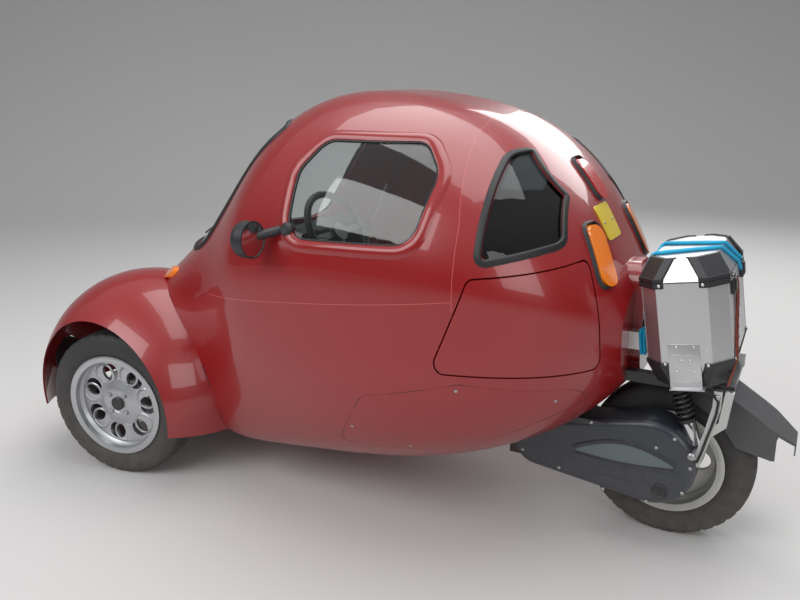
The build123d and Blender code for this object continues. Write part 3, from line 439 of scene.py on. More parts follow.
def axes_for(axis):
    """Two directions square to an axis."""
    axis = axis.normalized()
    first = axis.orthogonal().normalized()
    if abs(axis.z) < 0.9:
        first = (Vector((0, 0, 1)) - axis * axis.z).normalized()
    return first, axis.cross(first)


def round_point(centre, axis, turn, reach):
    """A point on the circle round an axis."""
    first, second = axes_for(axis)
    return centre + (first * math.cos(turn) + second * math.sin(turn)) * reach


def grid_faces(rows, columns, joined):
    """Quads between rows of points that each close on themselves; joined ties the last row to the first."""
    faces = []
    for row in range(rows if joined else rows - 1):
        here, above = row * columns, (row + 1) % rows * columns
        for step in range(columns):
            after = (step + 1) % columns
            faces.append([here + step, here + after, above + after, above + step])
    return faces


def end_faces(rows, columns):
    """The two faces that close a run of rows."""
    return [[row * columns + step for step in range(columns)] for row in (0, rows - 1)]


def around(centre, axis, count, reach, shift=0.5):
    """Points spread evenly round an axis; shift places the first one, in steps."""
    return [round_point(centre, axis, 2 * math.pi * (step + shift) / count, reach) for step in range(count)]


def lathe(profile, centre, axis, segments=64, relief=None, joined=False):
    """A turned form from (along the axis, radius) in millimetres; relief lowers rows by segment."""
    axis = axis.normalized()
    verts = []
    for row, (along, radius) in enumerate(profile):
        middle = centre + axis * (along / 1000)
        for step in range(segments):
            reach = radius - (relief(row, step) if relief else 0)
            verts.append(round_point(middle, axis, 2 * math.pi * step / segments, reach / 1000))
    faces = grid_faces(len(profile), segments, joined)
    if not joined:
        ends = end_faces(len(profile), segments)
        faces += [face for face, (_, radius) in zip(ends, (profile[0], profile[-1])) if radius > 0.01]
    return verts, faces


def ring(profile, centre, axis, segments=64, relief=None):
    """A closed turned ring: the profile's last point joins its first."""
    return lathe(profile, centre, axis, segments, relief, True)


def neighbours(points, index, closed):
    """The points before and after one of a line's points."""
    last = len(points) - 1
    back = points[index - 1] if closed or index > 0 else points[index]
    ahead = points[(index + 1) % len(points)] if closed or index < last else points[index]
    return back, ahead


def tube(points, radius, sides=10, closed=False):
    """A round tube through points, with capped ends unless closed."""
    normal = None
    verts = []
    for index, point in enumerate(points):
        back, ahead = neighbours(points, index, closed)
        tangent = (ahead - back).normalized()
        if normal is None:
            normal = axes_for(tangent)[0]
        normal = (normal - tangent * normal.dot(tangent)).normalized()
        other = tangent.cross(normal)
        for step in range(sides):
            turn = 2 * math.pi * step / sides
            verts.append(point + (normal * math.cos(turn) + other * math.sin(turn)) * radius)
    faces = grid_faces(len(points), sides, closed)
    return verts, faces if closed else faces + end_faces(len(points), sides)


def strip(points, normals, section, closed=True):
    """A moulding along points on a skin; section holds (outwards in the skin, off the skin) in metres."""
    middle = sum(points, Vector()) / len(points)
    verts = []
    for index, (point, normal) in enumerate(zip(points, normals)):
        back, ahead = neighbours(points, index, closed)
        across = (ahead - back).normalized().cross(normal).normalized()
        if closed and across.dot(point - middle) < 0:
            across.negate()
        verts += [point + across * out + normal * off for out, off in section]
    faces = grid_faces(len(points), len(section), closed)
    return verts, faces if closed else faces + end_faces(len(points), len(section))


def form_of(made):
    """The verts and faces of a bmesh, which is freed."""
    made.verts.index_update()
    verts = [vert.co.copy() for vert in made.verts]
    faces = [[vert.index for vert in face.verts] for face in made.faces]
    made.free()
    return verts, faces


def soft_block(low, high, bevel, segments=3):
    """A block with rounded edges, between two corners in metres."""
    made = bmesh.new()
    bmesh.ops.create_cube(made, size=1)
    size = Vector(high) - Vector(low)
    middle = (Vector(high) + Vector(low)) / 2
    for vert in made.verts:
        vert.co = Vector((vert.co.x * size.x, vert.co.y * size.y, vert.co.z * size.z)) + middle
    bmesh.ops.bevel(made, geom=list(made.edges), offset=bevel, segments=segments, affect="EDGES", profile=0.5)
    return form_of(made)


def button(centre, axis, radius, height=0.002):
    """A domed head, such as a screw, a rivet or a stud."""
    tall = height * 1000
    wide = radius * 1000
    profile = [(-0.4, wide), (tall * 0.35, wide), (tall * 0.75, wide * 0.8), (tall, wide * 0.35),
               (tall, 0.001)]
    return lathe(profile, centre, axis, 16)


def rounded(outline, radius, step=5):
    """An outline's points with its corners turned by a radius."""
    points = []
    corners = [Vector(point) for point in outline]
    for index, corner in enumerate(corners):
        back = corners[index - 1] - corner
        ahead = corners[(index + 1) % len(corners)] - corner
        half = back.angle(ahead) / 2
        reach = min(radius / math.tan(half), back.length * 0.49, ahead.length * 0.49)
        start = corner + back.normalized() * reach
        end = corner + ahead.normalized() * reach
        for share in range(step + 1):
            t = share / step
            points.append((start * (1 - t) + corner * t) * (1 - t) + (corner * (1 - t) + end * t) * t)
    dense = []
    for index, point in enumerate(points):
        after = points[(index + 1) % len(points)]
        pieces = max(1, int((after - point).length / 30))
        dense += [point.lerp(after, share / pieces) for share in range(pieces)]
    return dense


def skin_tree(*names):
    """A ray-casting tree of several nodes."""
    meshes = [NODES[name].data for name in names]
    forms = [([vert.co.copy() for vert in mesh.vertices], [polygon.vertices for polygon in mesh.polygons])
             for mesh in meshes]
    return BVHTree.FromPolygons(*merged(forms))


SKIN = skin_tree("lower_body", "upper_body", "side_panels", "hatch_left", "hatch_right", "door_right")


def skin_line(starts, way):
    """Points and outward normals where rays meet the skin."""
    points, normals = [], []
    for start in starts:
        hit, normal, _, _ = SKIN.ray_cast(start, way)
        if hit is not None:
            points.append(hit)
            normals.append(-normal if normal.dot(way) > 0 else normal)
    return points, normals


def side_line(outline, hand):
    """Points and normals on the skin, seen from one side."""
    return skin_line([place(distance, hand * 1200, z) for distance, z in outline], Vector((0, -hand, 0)))


def end_line(outline, facing):
    """Points and normals on the skin, seen from the front (-1) or the rear (1)."""
    return skin_line([Vector((facing * 3, y / 1000, z / 1000)) for y, z in outline], Vector((-facing, 0, 0)))


def grown(outline, amount):
    """A closed outline's points moved outwards."""
    points = [Vector(point) for point in outline]
    middle = sum(points, Vector((0, 0))) / len(points)
    moved = []
    for index, point in enumerate(points):
        along = points[(index + 1) % len(points)] - points[index - 1]
        across = Vector((along.y, -along.x)).normalized()
        if across.dot(point - middle) < 0:
            across.negate()
        moved.append(point + across * amount)
    return moved


def pannier_point(u, y, w):
    """A point by the pannier's own depth, width and height in millimetres."""
    return BOX_SEAM + (BOX_U * u + Vector((0, y, 0)) + BOX_W * w) / 1000


def pannier_block(low, high, bevel):
    """A soft-edged block in the pannier's own frame."""
    verts, faces = soft_block(low, high, bevel, 2)
    return [pannier_point(*vert) for vert in verts], faces


def eight(inset):
    """The eight corners of the pannier's plan, drawn in by an inset."""
    far, side, cut = BOX_DEPTH - inset, BOX_HALF - inset, BOX_CORNER
    return [(inset, cut - side), (inset + cut, -side), (far - cut, -side), (far, cut - side),
            (far, side - cut), (far - cut, side), (inset + cut, side), (inset, side - cut)]


def wheel_frame(side):
    """The centre and the outward axle direction of a front wheel."""
    joint = JOINTS["spin_" + side]
    outward = Vector(joint["axis"]).normalized()
    if outward.y * SIDES[side] < 0:
        outward.negate()
    return Vector(joint["pos_m"]), outward


# Operators, one for each group of pieces


class CAR_OT_finishes(bpy.types.Operator):
    """Give every solid its finish"""

    bl_idname = "car.finishes"
    bl_label = "Finishes"

    def execute(self, context):
        grain_group()
        dust_group()
        for name, nodes in NODE_FINISHES.items():
            for node in nodes:
                mesh = NODES[node].data
                mesh.materials.clear()
                mesh.materials.append(finish_named(name))
        return {"FINISHED"}


class CAR_OT_seams(bpy.types.Operator):
    """Draw the hairline seams of the body, the door and roof seam pale pink as a painted highlight and the
    side panels' outlines near black as painted shade, and the beads along the wings
    """

    bl_idname = "car.seams"
    bl_label = "Seams"

    def execute(self, context):
        half = context.scene.car_sizes.seam_width / 2
        section = [(-half, -0.0004), (-half * 0.6, 0.0004), (half * 0.6, 0.0004), (half, -0.0004)]
        line = []
        for start, end in zip(SEAM_LINE, SEAM_LINE[1:]):
            line += [[a + (b - a) * share / 12 for a, b in zip(start, end)] for share in range(12)]
        parts = [strip(*side_line(line, -1), section, closed=False),
                 strip(*self.roof_line(), section, closed=False)]
        # The door and roof seam is coloured pale pink as a painted highlight on its edge
        piece("body_seams", parts, "seam painted highlight")
        edges = [strip(*side_line(rounded(SIDE_PANEL, PANEL_CORNER), hand), section) for hand in (-1, 1)]
        # The side panels' outlines are coloured near black as painted shade in the panel gaps
        piece("side_panel_edges", edges, "seam painted shade")
        for side, hand in SIDES.items():
            piece("wing_bead_" + side, [self.bead(hand)], "black rubber")
        return {"FINISHED"}

    def roof_line(self):
        """The seam over the roof, which leans forward above its knee and ends at the door."""
        points, normals = [], []
        for step in range(-46, 47):
            turn = math.radians(step * 1.9)
            way = Vector((0, math.sin(turn), math.cos(turn)))
            distance = 1374
            for _ in range(4):
                base = place(distance, 0, 800)
                hit, normal, _, _ = SKIN.ray_cast(base + way * 1.2, -way)
                if hit is None:
                    break
                distance = SEAM_KNEE[0] - max(0, hit.z * 1000 - SEAM_KNEE[1]) * SEAM_LEAN
            if hit is None or (hit.y > 0.2 and hit.z < 1.3):
                continue
            points.append(hit)
            normals.append(-normal if normal.dot(way) < 0 else normal)
        return points, normals

    def bead(self, hand):
        """A slim bead where a wing meets the body."""
        start, end = WING_PROFILE[0][0], WING_PROFILE[1][0] + 40
        middle, radius = wing_circle()
        body = skin_tree("lower_body", "upper_body")
        points = []
        for step in range(101):
            turn = math.radians(-8 + 196 * step / 100)
            best = None
            for share in range(80):
                y = start + (end - start) * (share / 79)
                reach = middle.y + math.sqrt(max(radius ** 2 - (y - middle.x) ** 2, 0))
                spot = place(FRONT_AXLE - reach * math.cos(turn), hand * y,
                             HUB_HEIGHT + reach * math.sin(turn))
                hit, _, _, gap = body.find_nearest(spot)
                if hit is not None and (best is None or gap < best[0]):
                    best = (gap, spot)
            if best and best[0] < 0.006:
                points.append(best[1])
        inner_points = [(a + b * 2 + c) / 4 for a, b, c in zip(points, points[1:], points[2:])]
        smooth = [points[0]] + inner_points + [points[-1]]
        return tube(smooth, 0.0022, 8)


def wing_circle():
    """The centre and radius of the wing's crowned profile."""
    (ax, ay), (bx, by), (cx, cy) = WING_PROFILE
    base = 2 * (ax * (by - cy) + bx * (cy - ay) + cx * (ay - by))
    first, second, third = ax ** 2 + ay ** 2, bx ** 2 + by ** 2, cx ** 2 + cy ** 2
    ux = (first * (by - cy) + second * (cy - ay) + third * (ay - by)) / base
    uy = (first * (cx - bx) + second * (ax - cx) + third * (bx - ax)) / base
    middle = Vector((ux, uy))
    return middle, (middle - Vector((ax, ay))).length


class CAR_OT_window_trim(bpy.types.Operator):
    """Fit the rubber and the moulded surrounds of the windows"""

    bl_idname = "car.window_trim"
    bl_label = "Window trim"

    def execute(self, context):
        wide = context.scene.car_sizes.gasket_width
        gasket = [(-0.004, -0.006), (-0.004, 0.003), (0.0, 0.0065), (wide * 0.6, 0.006), (wide, 0.001),
                  (wide, -0.004)]
        flare = [(-0.005, -0.012), (-0.003, -0.001), (0.004, 0.0045), (0.014, 0.007), (0.026, 0.0045),
                 (0.036, -0.001)]
        bead = [(-0.009, -0.012), (-0.009, -0.004), (-0.0045, -0.002), (-0.0025, -0.004), (-0.0025, -0.012)]
        surround = [(-0.008, -0.008), (-0.007, 0.004), (0.0, 0.008), (0.012, 0.006), (0.018, -0.001),
                    (0.014, -0.006)]
        for side, hand in SIDES.items():
            line = side_line(grown(rounded(QUARTER_WINDOW, QUARTER_CORNER), 2), hand)
            piece("quarter_gasket_" + side, [strip(*line, gasket)], "black rubber")
            body = "body" if side == "left" else "door"
            line = side_line(grown(rounded(SIDE_WINDOW, SIDE_WINDOW_CORNER, 8), 3), hand)
            piece("window_flare_" + side, [strip(*line, flare)], "body paint", body)
            piece("window_bead_" + side, [strip(*line, bead)], "black rubber", body)
        line = end_line(grown(rounded(WINDSCREEN, SCREEN_CORNER, 8), 3), -1)
        piece("windscreen_gasket", [strip(*line, surround)], "black rubber")
        self.wiper()
        return {"FINISHED"}

    def wiper(self):
        """A parked wiper along the windscreen's lower edge."""
        glass = skin_tree("windscreen", "upper_body")
        line = []
        for share in range(13):
            y = -260 + 430 * share / 12
            z = 935 + 22 * math.sin(math.pi * share / 12)
            hit = glass.ray_cast(Vector((-3, y / 1000, z / 1000)), Vector((1, 0, 0)))[0]
            if hit is not None:
                line.append(hit + Vector((-0.008, 0, 0.006)))
        blade = tube(line, 0.004, 6)
        pivot = SKIN.ray_cast(Vector((-3, 0.02, 0.86)), Vector((1, 0, 0)))[0] + Vector((-0.006, 0, 0.002))
        arm = tube([pivot, pivot.lerp(line[7], 0.5) + Vector((-0.006, 0, 0.006)), line[7]], 0.005, 8)
        cap = lathe([(-14, 13), (4, 13), (8, 9), (8, 0.001)], pivot, Vector((-0.6, 0, 0.8)), 24)
        piece("wiper", [blade, arm, cap], "black plastic")


class CAR_OT_front_wheels(bpy.types.Operator):
    """Build the front tyres with their tread and the details of the rims"""

    bl_idname = "car.front_wheels"
    bl_label = "Front wheels"

    def execute(self, context):
        for side in SIDES:
            centre, outward = wheel_frame(side)
            body = "wheel_front_" + side
            form = tread_tyre(centre, outward, *FRONT_TYRE)
            tyre = piece("tread_tyre_" + side, [form], "tyre rubber", body, 30)
            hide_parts("front_tyre_" + side)
            lip = [(72, 182), (80.5, 183), (83, 190), (84, 201), (82, 206), (78, 205), (73, 198)]
            well = [(41, 178), (46, 172), (52, 178), (60, 183), (44, 184)]
            edge = [(30, 34.5), (44, 34.5), (47.5, 37), (46.5, 41), (44, 44), (43, 40)]
            face = [(44, 98), (47, 88), (51, 74), (56.5, 62), (57.5, 40), (56, 38)]
            parts = [ring(lip, centre, outward, 96), ring(well, centre, outward, 96)]
            holes = around(centre, outward, RIM_HOLES, HOLE_CIRCLE)
            parts += [ring(edge, spot, outward, 36) for spot in holes]
            parts.append(lathe(face, centre, outward, 64))
            piece("rim_forms_" + side, parts, "wheel alloy", body)
            bolts = []
            for spot in around(centre, outward, WHEEL_BOLTS, BOLT_CIRCLE):
                bolts.append(ring([(54, 12), (58.5, 12), (58.5, 10), (54, 10)], spot, outward, 20))
                bolts.append(lathe([(54, 9), (63, 9), (64.5, 7.5), (64.5, 0.001)], spot, outward, 6))
            piece("wheel_bolts_" + side, bolts, "turned steel", body)
            cap = [(54, 27), (63, 27), (66, 24), (67, 20), (66, 17), (67.5, 10), (68, 0.001)]
            piece("hub_cap_" + side, [lathe(cap, centre, outward, 40)], "black plastic", body)
            first, second = axes_for(outward)
            valve = centre + (first * 0.3 - second * 0.95) * VALVE_CIRCLE
            stem = tube([valve + outward * 0.045, valve + outward * 0.068], 0.0035, 10)
            piece("tyre_valve_" + side, [stem], "black rubber", body)
        return {"FINISHED"}


def tread_tyre(centre, outward, radius, half, rim):
    """A tyre with ribs round the tread, cuts across its shoulders and a lipped bead."""
    depth = bpy.context.scene.car_sizes.tread_depth * 1000
    drop = radius - rim
    sidewall = [(14, 4 / drop), (13, 16 / drop), (7, 0.22), (2, 0.36), (0, 0.5), (0.4, 0.56), (2.5, 0.68),
                (6.5, 0.8)]
    rows = [(-(half - off), rim + share * drop, 0) for off, share in sidewall]
    rows += [(-(half - 11), rim + 0.88 * drop, 1), (-(half - 16), radius - 6, 1),
             (-(half - 21), radius - 3.4, 1)]
    edge = half - 26
    spots = [(share, 2) for share in (-0.92, -0.44, 0.0, 0.44, 0.92)]
    for cut in (-0.66, -0.22, 0.22, 0.66):
        spots += [(cut - 0.075, 0), (cut - 0.06, 1), (cut + 0.06, 1), (cut + 0.075, 0)]
    crown = []
    for share, kind in sorted(spots):
        along = share * edge
        top = radius - 2.6 * (along / edge) ** 2
        if kind == 1:
            crown.append((along, top - depth, 0))
        else:
            crown.append((along, top, 3 if kind == 2 and abs(share) > 0.9 else 0))
    table = rows + crown + [(-along, reach, kind) for along, reach, kind in reversed(rows)]
    table += [(half - 16, rim - 1, 0), (-(half - 16), rim - 1, 0)]
    kinds = [kind for _, _, kind in table]

    def relief(row, step):
        """Cuts across the shoulders (kind 1) and the crown's edge (kind 3)."""
        return {1: 3.2, 3: depth * 0.7}.get(kinds[row], 0) if step % 8 in (0, 1) else 0

    return ring([(along, reach) for along, reach, _ in table], centre, outward, 288, relief)


class CAR_OT_rear_wheel(bpy.types.Operator):
    """Build the rear tyre and the details of the rear rim"""

    bl_idname = "car.rear_wheel"
    bl_label = "Rear wheel"

    def execute(self, context):
        centre = Vector(JOINTS["spin_rear"]["pos_m"])
        outward = Vector((0, 1, 0))
        form = tread_tyre(centre, outward, *REAR_TYRE)
        tyre = piece("tread_tyre_rear", [form], "tyre rubber", "wheel_rear", 30)
        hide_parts("rear_tyre")
        parts = []
        for hand in (-1, 1):
            axis = outward * hand
            lip = [(55, 157), (62.5, 158), (65, 166), (66, 176), (64, 181), (60, 179), (56, 172)]
            parts.append(ring(lip, centre, axis, 72))
            parts.append(ring([(8, 150), (14, 146), (26, 152), (30, 158), (8, 159)], centre, axis, 72))
            for spot in around(centre, axis, REAR_STUDS, STUD_CIRCLE, 1.25 if hand == -1 else 0):
                parts.append(tube([spot + axis * 0.008, spot + axis * 0.058], 0.006, 8))
        piece("rear_rim_forms", parts, "rear rim paint", "wheel_rear")
        return {"FINISHED"}


class CAR_OT_lamps(bpy.types.Operator):
    """Fit the headlamps, the lamp surrounds and the screws of the plate and the side panels"""

    bl_idname = "car.lamps"
    bl_label = "Lamps"

    def execute(self, context):
        self.headlamps()
        self.surrounds()
        self.screws()
        return {"FINISHED"}

    def headlamps(self):
        """Lenses, shells, buckets and bulbs of the headlamps."""
        low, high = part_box("headlamps")
        radius = (high.z - low.z) * 500
        shells = []
        for side, hand in SIDES.items():
            centre = Vector((low.x - LAMP_PROUD, hand * ((high.y - low.y) / 2 - radius / 1000),
                             (low.z + high.z) / 2))
            ahead = Vector((-1, 0, 0))
            lens_form = [(-24, radius - 8), (-14, radius - 9), (-6, radius * 0.72), (-1, radius * 0.42),
                         (0, 0.001)]
            piece("lamp_lens_" + side, [lathe(lens_form, centre, ahead, 64)], "lamp glass")
            bowl = [(-26, radius - 9), (-52, radius * 0.62), (-74, radius * 0.2), (-76, 0.001)]
            rim_form = [(-32, radius - 1), (-14, radius - 1), (-9, radius - 5), (-13, radius - 10),
                        (-32, radius - 10)]
            rim = ring(rim_form, centre, ahead, 64)
            shells.append(lathe(bowl, centre, ahead, 48))
            shells.append(rim)
            back_form = [(-130, radius - 6), (-30, radius - 1.5), (-30, radius - 9), (-128, radius - 12)]
            back = ring(back_form, centre, ahead, 48)
            piece("lamp_bucket_" + side, [back], "black plastic")
            bulb = lathe([(-74, 6), (-50, 7), (-42, 5), (-40, 0.001)], centre, ahead, 20)
            piece("lamp_bulb_" + side, [bulb], "lamp glass")
        chrome = piece("lamp_shells", shells, "bright chrome")
        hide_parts("headlamps")

    def surrounds(self):
        """Moulded surrounds of the rear lamps."""
        rings = []
        table = ((-1, REAR_INDICATOR, 0.007), (1, REAR_INDICATOR, 0.007), (1, TAIL_LAMP, 0.005))
        for hand, outline, wide in table:
            placed = [(hand * y, z) for y, z in outline]
            line = end_line(grown(rounded(placed, LAMP_CORNER, 8), 1.5), 1)
            form = [(-0.001, -0.004), (0.0, 0.009), (wide * 0.5, 0.011), (wide, 0.006), (wide * 1.5, -0.001)]
            rings.append(strip(*line, form))
        piece("lamp_surrounds", rings, "black plastic")

    def screws(self):
        """Screw heads of the number plate and the side panels."""
        heads = []
        low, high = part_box("number_plate")
        for share in PLATE_SCREWS:
            y = low.y + (high.y - low.y) * share
            hit = SKIN.ray_cast(Vector((3, y, (low.z + high.z) / 2)), Vector((-1, 0, 0)))[0]
            heads.append(button(hit + Vector((0.003, 0, 0)), Vector((1, 0, 0.4)), 0.005, 0.003))
        for hand in (-1, 1):
            for spot, normal in zip(*side_line(PANEL_SCREWS, hand)):
                heads.append(button(spot, normal, 0.0055, 0.0022))
        piece("screw_heads", heads, "turned steel")


class CAR_OT_mirrors(bpy.types.Operator):
    """Fit the mirror glasses and the bosses of the mirror arms"""

    bl_idname = "car.mirrors"
    bl_label = "Mirrors"

    def execute(self, context):
        for side, hand in SIDES.items():
            body = "body" if side == "left" else "door"
            centre = sided(MIRROR, hand)
            back = Vector((1, 0, 0))
            rim = ring([(50, 57.5), (58, 58.5), (59, 55), (56, 52), (50, 52)], centre, back, 48)
            piece("mirror_rim_" + side, [rim], "black plastic", body)
            glass = lathe([(52, 52), (56, 52), (56.5, 0.001)], centre, back, 48)
            piece("mirror_glass_" + side, [glass], "bright chrome", body)
            foot = sided(MIRROR_FOOT, hand)
            points, normals = side_line([MIRROR_BOSS], hand)
            boss = lathe([(-6, 24), (4, 23), (10, 18), (13, 14), (13, 0.001)], points[0], normals[0], 32)
            arm_low = sided(MIRROR_ARM, hand)
            arm = tube([arm_low, arm_low.lerp(foot, 0.5), foot], 0.015, 4)
            piece("mirror_boss_" + side, [boss, arm], "black plastic", body)
        return {"FINISHED"}


class CAR_OT_pannier(bpy.types.Operator):
    """Fit the pannier's corners, rivets, latches, side plate, straps and net"""

    bl_idname = "car.pannier"
    bl_label = "Pannier"

    def execute(self, context):
        self.corners()
        self.fittings()
        self.straps()
        self.arm_strap()
        self.net()
        return {"FINISHED"}

    def corners(self):
        """Black corner caps and their rivets."""
        sets = {
            "pannier_caps_lid": ("pannier_lid", [(12, 0.5), (62, 30), (63, 36)], 3.5),
            "pannier_caps_seam": ("body", [(-18, 0), (-1, 0)], 5.5),
            "lid_bands": ("pannier_lid", [(0.5, 0), (11, 0), (12, 1)], 5.5),
            "pannier_caps_foot": ("body", [(-245, 0), (BOX_BELLY, 0), (-319, 22), (-320, 34)], 4),
        }
        for name, (body, levels, proud) in sets.items():
            caps = [self.cap(corner, levels, proud) for corner in (0, 2, 4, 6)]
            piece(name, caps, "black plastic", body, 25)
        rivets = []
        for hand in (-1, 1):
            for u, w, off in ((60, -9, 5.5), (180, -9, 5.5), (60, -247, 4), (180, -249, 4)):
                spot = pannier_point(u, hand * (BOX_HALF + off), w)
                rivets.append(button(spot, Vector((0, hand, 0)), 0.0048, 0.003))
            for w, off in ((-9, 5.5), (-248, 4)):
                spot = pannier_point(BOX_DEPTH + off, hand * (BOX_HALF - 62), w)
                rivets.append(button(spot, BOX_U, 0.0048, 0.003))
        piece("pannier_rivets", rivets, "bright chrome")

    def cap(self, corner, levels, proud):
        """One cap over a cut corner: a bent sheet with its own thickness."""
        overlap = 23
        verts = []
        for w, inset in levels:
            for off in (proud, -0.6):
                ring_points = eight(inset - off)
                back, start = Vector(ring_points[corner - 1]), Vector(ring_points[corner])
                end, ahead = Vector(ring_points[corner + 1]), Vector(ring_points[(corner + 2) % 8])
                line = [start + (back - start).normalized() * overlap, start, end,
                        end + (ahead - end).normalized() * overlap]
                lift = (off if inset > 20 else 0) * (1 if w > 0 else -1)
                verts += [pannier_point(u, y, w + lift) for u, y in line]
        faces = []
        for level in range(len(levels) - 1):
            first = level * 8
            for layer in (0, 4):
                for step in range(3):
                    here = first + layer + step
                    faces.append([here, here + 1, here + 9, here + 8])
            for step in (0, 3):
                faces.append([first + step, first + 4 + step, first + 12 + step, first + 8 + step])
        for first in (0, (len(levels) - 1) * 8):
            for step in range(3):
                faces.append([first + step, first + step + 1, first + 5 + step, first + 4 + step])
        return verts, faces

    def fittings(self):
        """The side plate, latches and lid seal."""
        side = -BOX_HALF
        plate = pannier_block((70, side - 2.5, -304), (160, side + 0.5, -186), 1)
        seat = pannier_block((79, side - 4.5, -222), (157, side - 1, -218), 0.8)
        lip = pannier_block((70, side - 24, -322), (168, side + 22, -318), 1.2)
        slope = [pannier_point(u, side - 2.5, w) for w in (-304, -318) for u in (70, 160)]
        slope += [point + Vector((0, 0.003, 0)) for point in slope]
        skirt = (slope, [[0, 1, 3, 2], [4, 5, 7, 6], [0, 1, 5, 4], [2, 3, 7, 6], [0, 2, 6, 4], [1, 3, 7, 5]])
        piece("pannier_side_plate", [plate, seat, lip, skirt], "box sheet")
        rivets = []
        for u, w in ((94, -195), (143, -195), (106, -236), (130, -236), (91, -271), (140, -271)):
            rivets.append(button(pannier_point(u, side - 2.5, w), Vector((0, -1, 0)), 0.0042, 0.0025))
        for u, w in ((178, -205), (177, -225)):
            rivets.append(button(pannier_point(u, side, w), Vector((0, -1, 0)), 0.0022, 0.001))
        piece("plate_rivets", rivets, "bright chrome")
        latches, pins = [], []
        for y in (-110, 110):
            latches.append(pannier_block((BOX_DEPTH, y - 21, -62), (BOX_DEPTH + 11, y + 21, -4), 3))
            latches.append(pannier_block((BOX_DEPTH + 9, y - 14, -54), (BOX_DEPTH + 15, y + 14, -16), 2))
            ends = [pannier_point(BOX_DEPTH + 8, y + side_step, -10) for side_step in (-24, 24)]
            pins.append(tube(ends, 0.003, 10))
        piece("pannier_latches", latches, "black plastic")
        piece("latch_pins", pins, "bright chrome")
        inner, outer = eight(2.5), eight(-1.2)
        rings = ((outer, -3.5), (outer, -1.2), (inner, -1.2), (inner, -3.5))
        verts = [pannier_point(u, y, w) for ring_points, w in rings for u, y in ring_points]
        piece("pannier_seal", [(verts, grid_faces(4, 8, True))], "black rubber")
        folds = []
        for corner in range(8):
            foot, belly, top = (pannier_point(*eight(inset)[corner], w)
                                for w, inset in ((-316, 21), (BOX_BELLY, 0), (-20, 0)))
            bend = [foot, foot.lerp(belly, 0.9), belly.lerp(top, 0.05), top]
            folds.append(tube(bend, 0.0012, 6))
        piece("pannier_folds", folds, "box sheet")

    def straps(self):
        """Two runs of elastic over the lid, with hooks."""
        bands = []
        for front, rear in (((-150, -102), (-65, 95)), ((-120, 59), (11, 140))):
            run = front[1] - front[0]
            path = [(-4.5, front[0] + run * 0.3, 4), (27, front[1] - run * 0.15, 64), (34, front[1], 67.5),
                    (120, (front[1] + rear[0]) / 2, 67.8), (207, rear[0], 67.5),
                    (215, rear[0] * 0.9 + rear[1] * 0.1, 64),
                    (246, rear[0] * 0.35 + rear[1] * 0.65, 4), (247, rear[1], -34)]
            for shift in (-4.4, 4.4):
                bands.append(tube([pannier_point(u, y + shift, w) for u, y, w in path], 0.0048, 8))
        hooks = [tube([pannier_point(248 + 3 * math.sin(k), y, -34 - 4 * k) for k in range(5)], 0.003, 8)
                 for y in (95, 140)]
        piece("lid_straps", bands, "strap elastic", "pannier_lid")
        piece("strap_hooks", hooks, "black steel", "pannier_lid")

    def arm_strap(self):
        """Two turns of elastic round the luggage arm."""
        low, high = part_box("luggage_arms")
        middle = (low.z + high.z) / 2
        tall = (high.z - low.z) / 2 + 0.008
        loops = []
        for shift in (0, 0.011):
            loop = []
            for step in range(28):
                turn = 2 * math.pi * step / 28
                wide = 0.03 * max(-1, min(1, 1.4 * math.cos(turn)))
                loop.append(Vector((place(1868, 0, 0).x + shift + 0.003 * math.sin(turn * 2), -0.115 + wide,
                                    middle + tall * max(-1, min(1, 1.4 * math.sin(turn))))))
            loops.append(tube(loop, 0.0052, 8, closed=True))
        piece("arm_strap", loops, "strap elastic")

    def net(self):
        """A gathered net of cord down the box's rear."""
        cords = []
        for step in range(7):
            line = []
            for share in range(19):
                t = share / 18
                middle, spread, w, deep = self.net_row(t)
                y = middle + (step - 3) * spread + 3 * math.sin(7 * t + step * 2)
                line.append(pannier_point(deep + 5 + 2.2 * math.sin(9 * t + step), y, w))
            cords.append(tube(line, 0.0021, 6))
        for step in range(9):
            middle, spread, w, deep = self.net_row(0.08 + step * 0.1)
            line = [pannier_point(deep + 8, middle + k * spread, w + 3 * math.sin(k * 1.7 + step))
                    for k in range(-3, 4)]
            cords.append(tube(line, 0.0019, 6))
        piece("back_net", cords, "cord elastic")

    def net_row(self, t):
        """The net's middle, the gap between its cords, its height and the box's depth there."""
        gather = 1 - 0.55 * math.sin(math.pi * min(1, t * 1.1)) ** 2
        w = -36 - 285 * t
        return -20 - 150 * t ** 1.2, 9 * gather, w, BOX_DEPTH - max(0, (BOX_BELLY - w) / 67 * 22)


